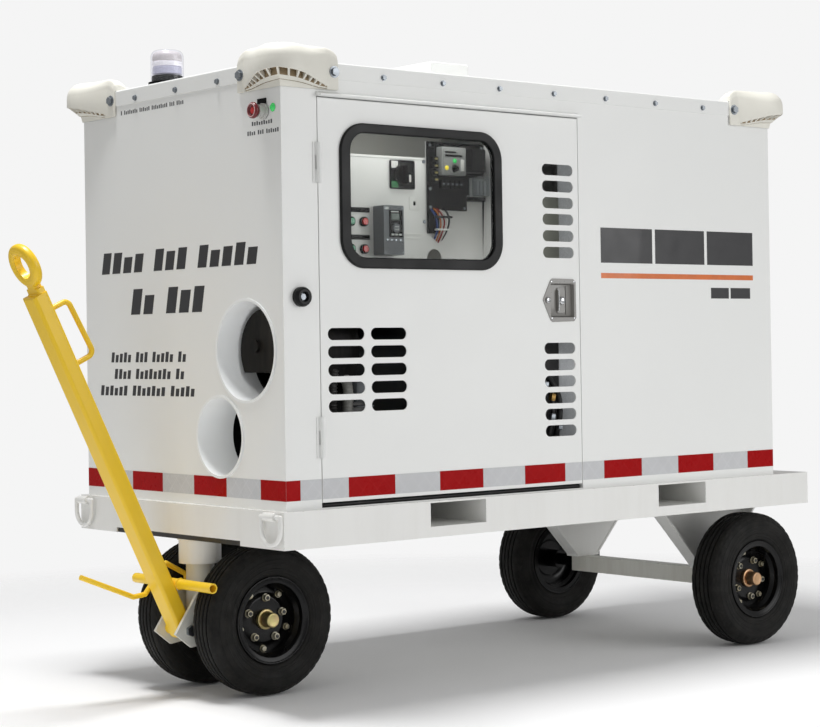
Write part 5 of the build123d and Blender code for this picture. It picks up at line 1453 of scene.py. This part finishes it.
def make_world():
    """White light all round, with a plain pale grey seen by the camera."""
    world = bpy.data.worlds.new("studio")
    scene.world = world
    world.use_nodes = True
    nodes, links = world.node_tree.nodes, world.node_tree.links
    nodes.clear()
    output = nodes.new("ShaderNodeOutputWorld")
    mix = nodes.new("ShaderNodeMixShader")
    rays = nodes.new("ShaderNodeLightPath")
    links.new(rays.outputs["Is Camera Ray"], mix.inputs[0])
    # mix input, grey level, strength
    for slot, level, strength in ((1, 1.0, 0.40), (2, 0.913, 1.0)):
        background = nodes.new("ShaderNodeBackground")
        background.inputs[0].default_value = (level, level, level, 1)
        background.inputs[1].default_value = strength
        links.new(background.outputs[0], mix.inputs[slot])
    links.new(mix.outputs[0], output.inputs[0])


# name, place, target, width and height, watts
STUDIO_LIGHTS = [
    ("key_overhead", (-1.2, 0.1, 5.4), (0.2, -0.1, 0.4), (1.2, 1.2), 215),
    ("door_side_soft", (2.6, -5.2, 2.0), (0.2, 0, 0.9), (4.0, 3.0), 97),
    ("tow_end_soft", (-5.2, -1.6, 1.0), (-0.92, -0.1, 0.9), (2.6, 2.0), 15),
]
# small lights inside the enclosure, kept out of view and out of reflections
INSIDE_LIGHTS = [
    ("cabinet_light", (-0.42, -0.40, 1.515), (-0.42, -0.30, 1.2), (0.5, 0.05), 0.45),
    ("bay_upper", (0.02, -0.425, 1.09), (0.01, -0.399, 1.20), (0.03, 0.03), 0.020),
    ("bay_lower", (0.03, -0.432, 0.905), (0.01, -0.385, 0.74), (0.03, 0.03), 0.045),
    ("bay_front", (-0.66, -0.432, 0.872), (-0.69, -0.425, 0.76), (0.03, 0.03), 0.018),
    ("large_duct_light", (-0.907, -0.385, 0.985), (-0.865, -0.215, 0.845), (0.03, 0.03), 0.095),
    ("small_duct_light", (-0.907, -0.245, 0.748), (-0.870, -0.110, 0.640), (0.03, 0.03), 0.055),
    ("cabinet_low", (-0.20, -0.440, 1.105), (-0.19, -0.33, 1.235), (0.12, 0.03), 0.075),
    ("bay_middle", (0.03, -0.430, 1.060), (0.0, -0.392, 0.96), (0.03, 0.03), 0.020),
]


def area_light(name, place, target, size, watts):
    data = bpy.data.lights.new(name, "AREA")
    data.shape = "RECTANGLE"
    data.size, data.size_y = size
    data.energy = watts
    light = bpy.data.objects.new(name, data)
    coll.objects.link(light)
    light.location = place
    light.rotation_euler = (Vector(target) - Vector(place)).to_track_quat("-Z", "Y").to_euler()
    return light


def make_lights():
    for row in STUDIO_LIGHTS:
        area_light(*row)
    for row in INSIDE_LIGHTS:
        light = area_light(*row)
        light.visible_camera = False
        light.visible_glossy = False
    scene.view_settings.view_transform = "Standard"
    scene.view_settings.look = "None"
    scene.view_settings.exposure = 0.0


def make_camera():
    yaw, pitch, roll = (math.radians(a) for a in (50.347, 0.491, -0.864))
    forward = Vector((math.cos(yaw) * math.cos(pitch), math.sin(yaw) * math.cos(pitch),
                      math.sin(pitch)))
    right = Vector((math.sin(yaw), -math.cos(yaw), 0)).normalized()
    up = right.cross(forward)
    rolled_right = right * math.cos(roll) + up * math.sin(roll)
    rolled_up = -right * math.sin(roll) + up * math.cos(roll)
    data = bpy.data.cameras.new("photo_camera")
    camera = bpy.data.objects.new("photo_camera", data)
    coll.objects.link(camera)
    matrix = Matrix((rolled_right, rolled_up, -forward)).transposed().to_4x4()
    matrix.translation = Vector((-3.87509, -4.56902, 0.91482))
    camera.matrix_world = matrix
    data.sensor_width = 36.0
    data.lens = 88.916
    data.shift_x = -0.01023
    data.shift_y = -0.03974
    data.clip_end = 200
    scene.camera = camera


for step in (finish_cad_nodes, make_tape, make_marks, make_bumpers, make_beacon, make_estop,
             make_wheels, make_panel_labels, make_disconnect, make_drive_keypad,
             make_controller_lamps, make_relay_cover_fittings, make_relay, make_wiring_loom,
             make_hoses, make_bulkhead, make_door_surround, make_latch, make_welds,
             make_floor, make_world, make_lights, make_camera):
    step()
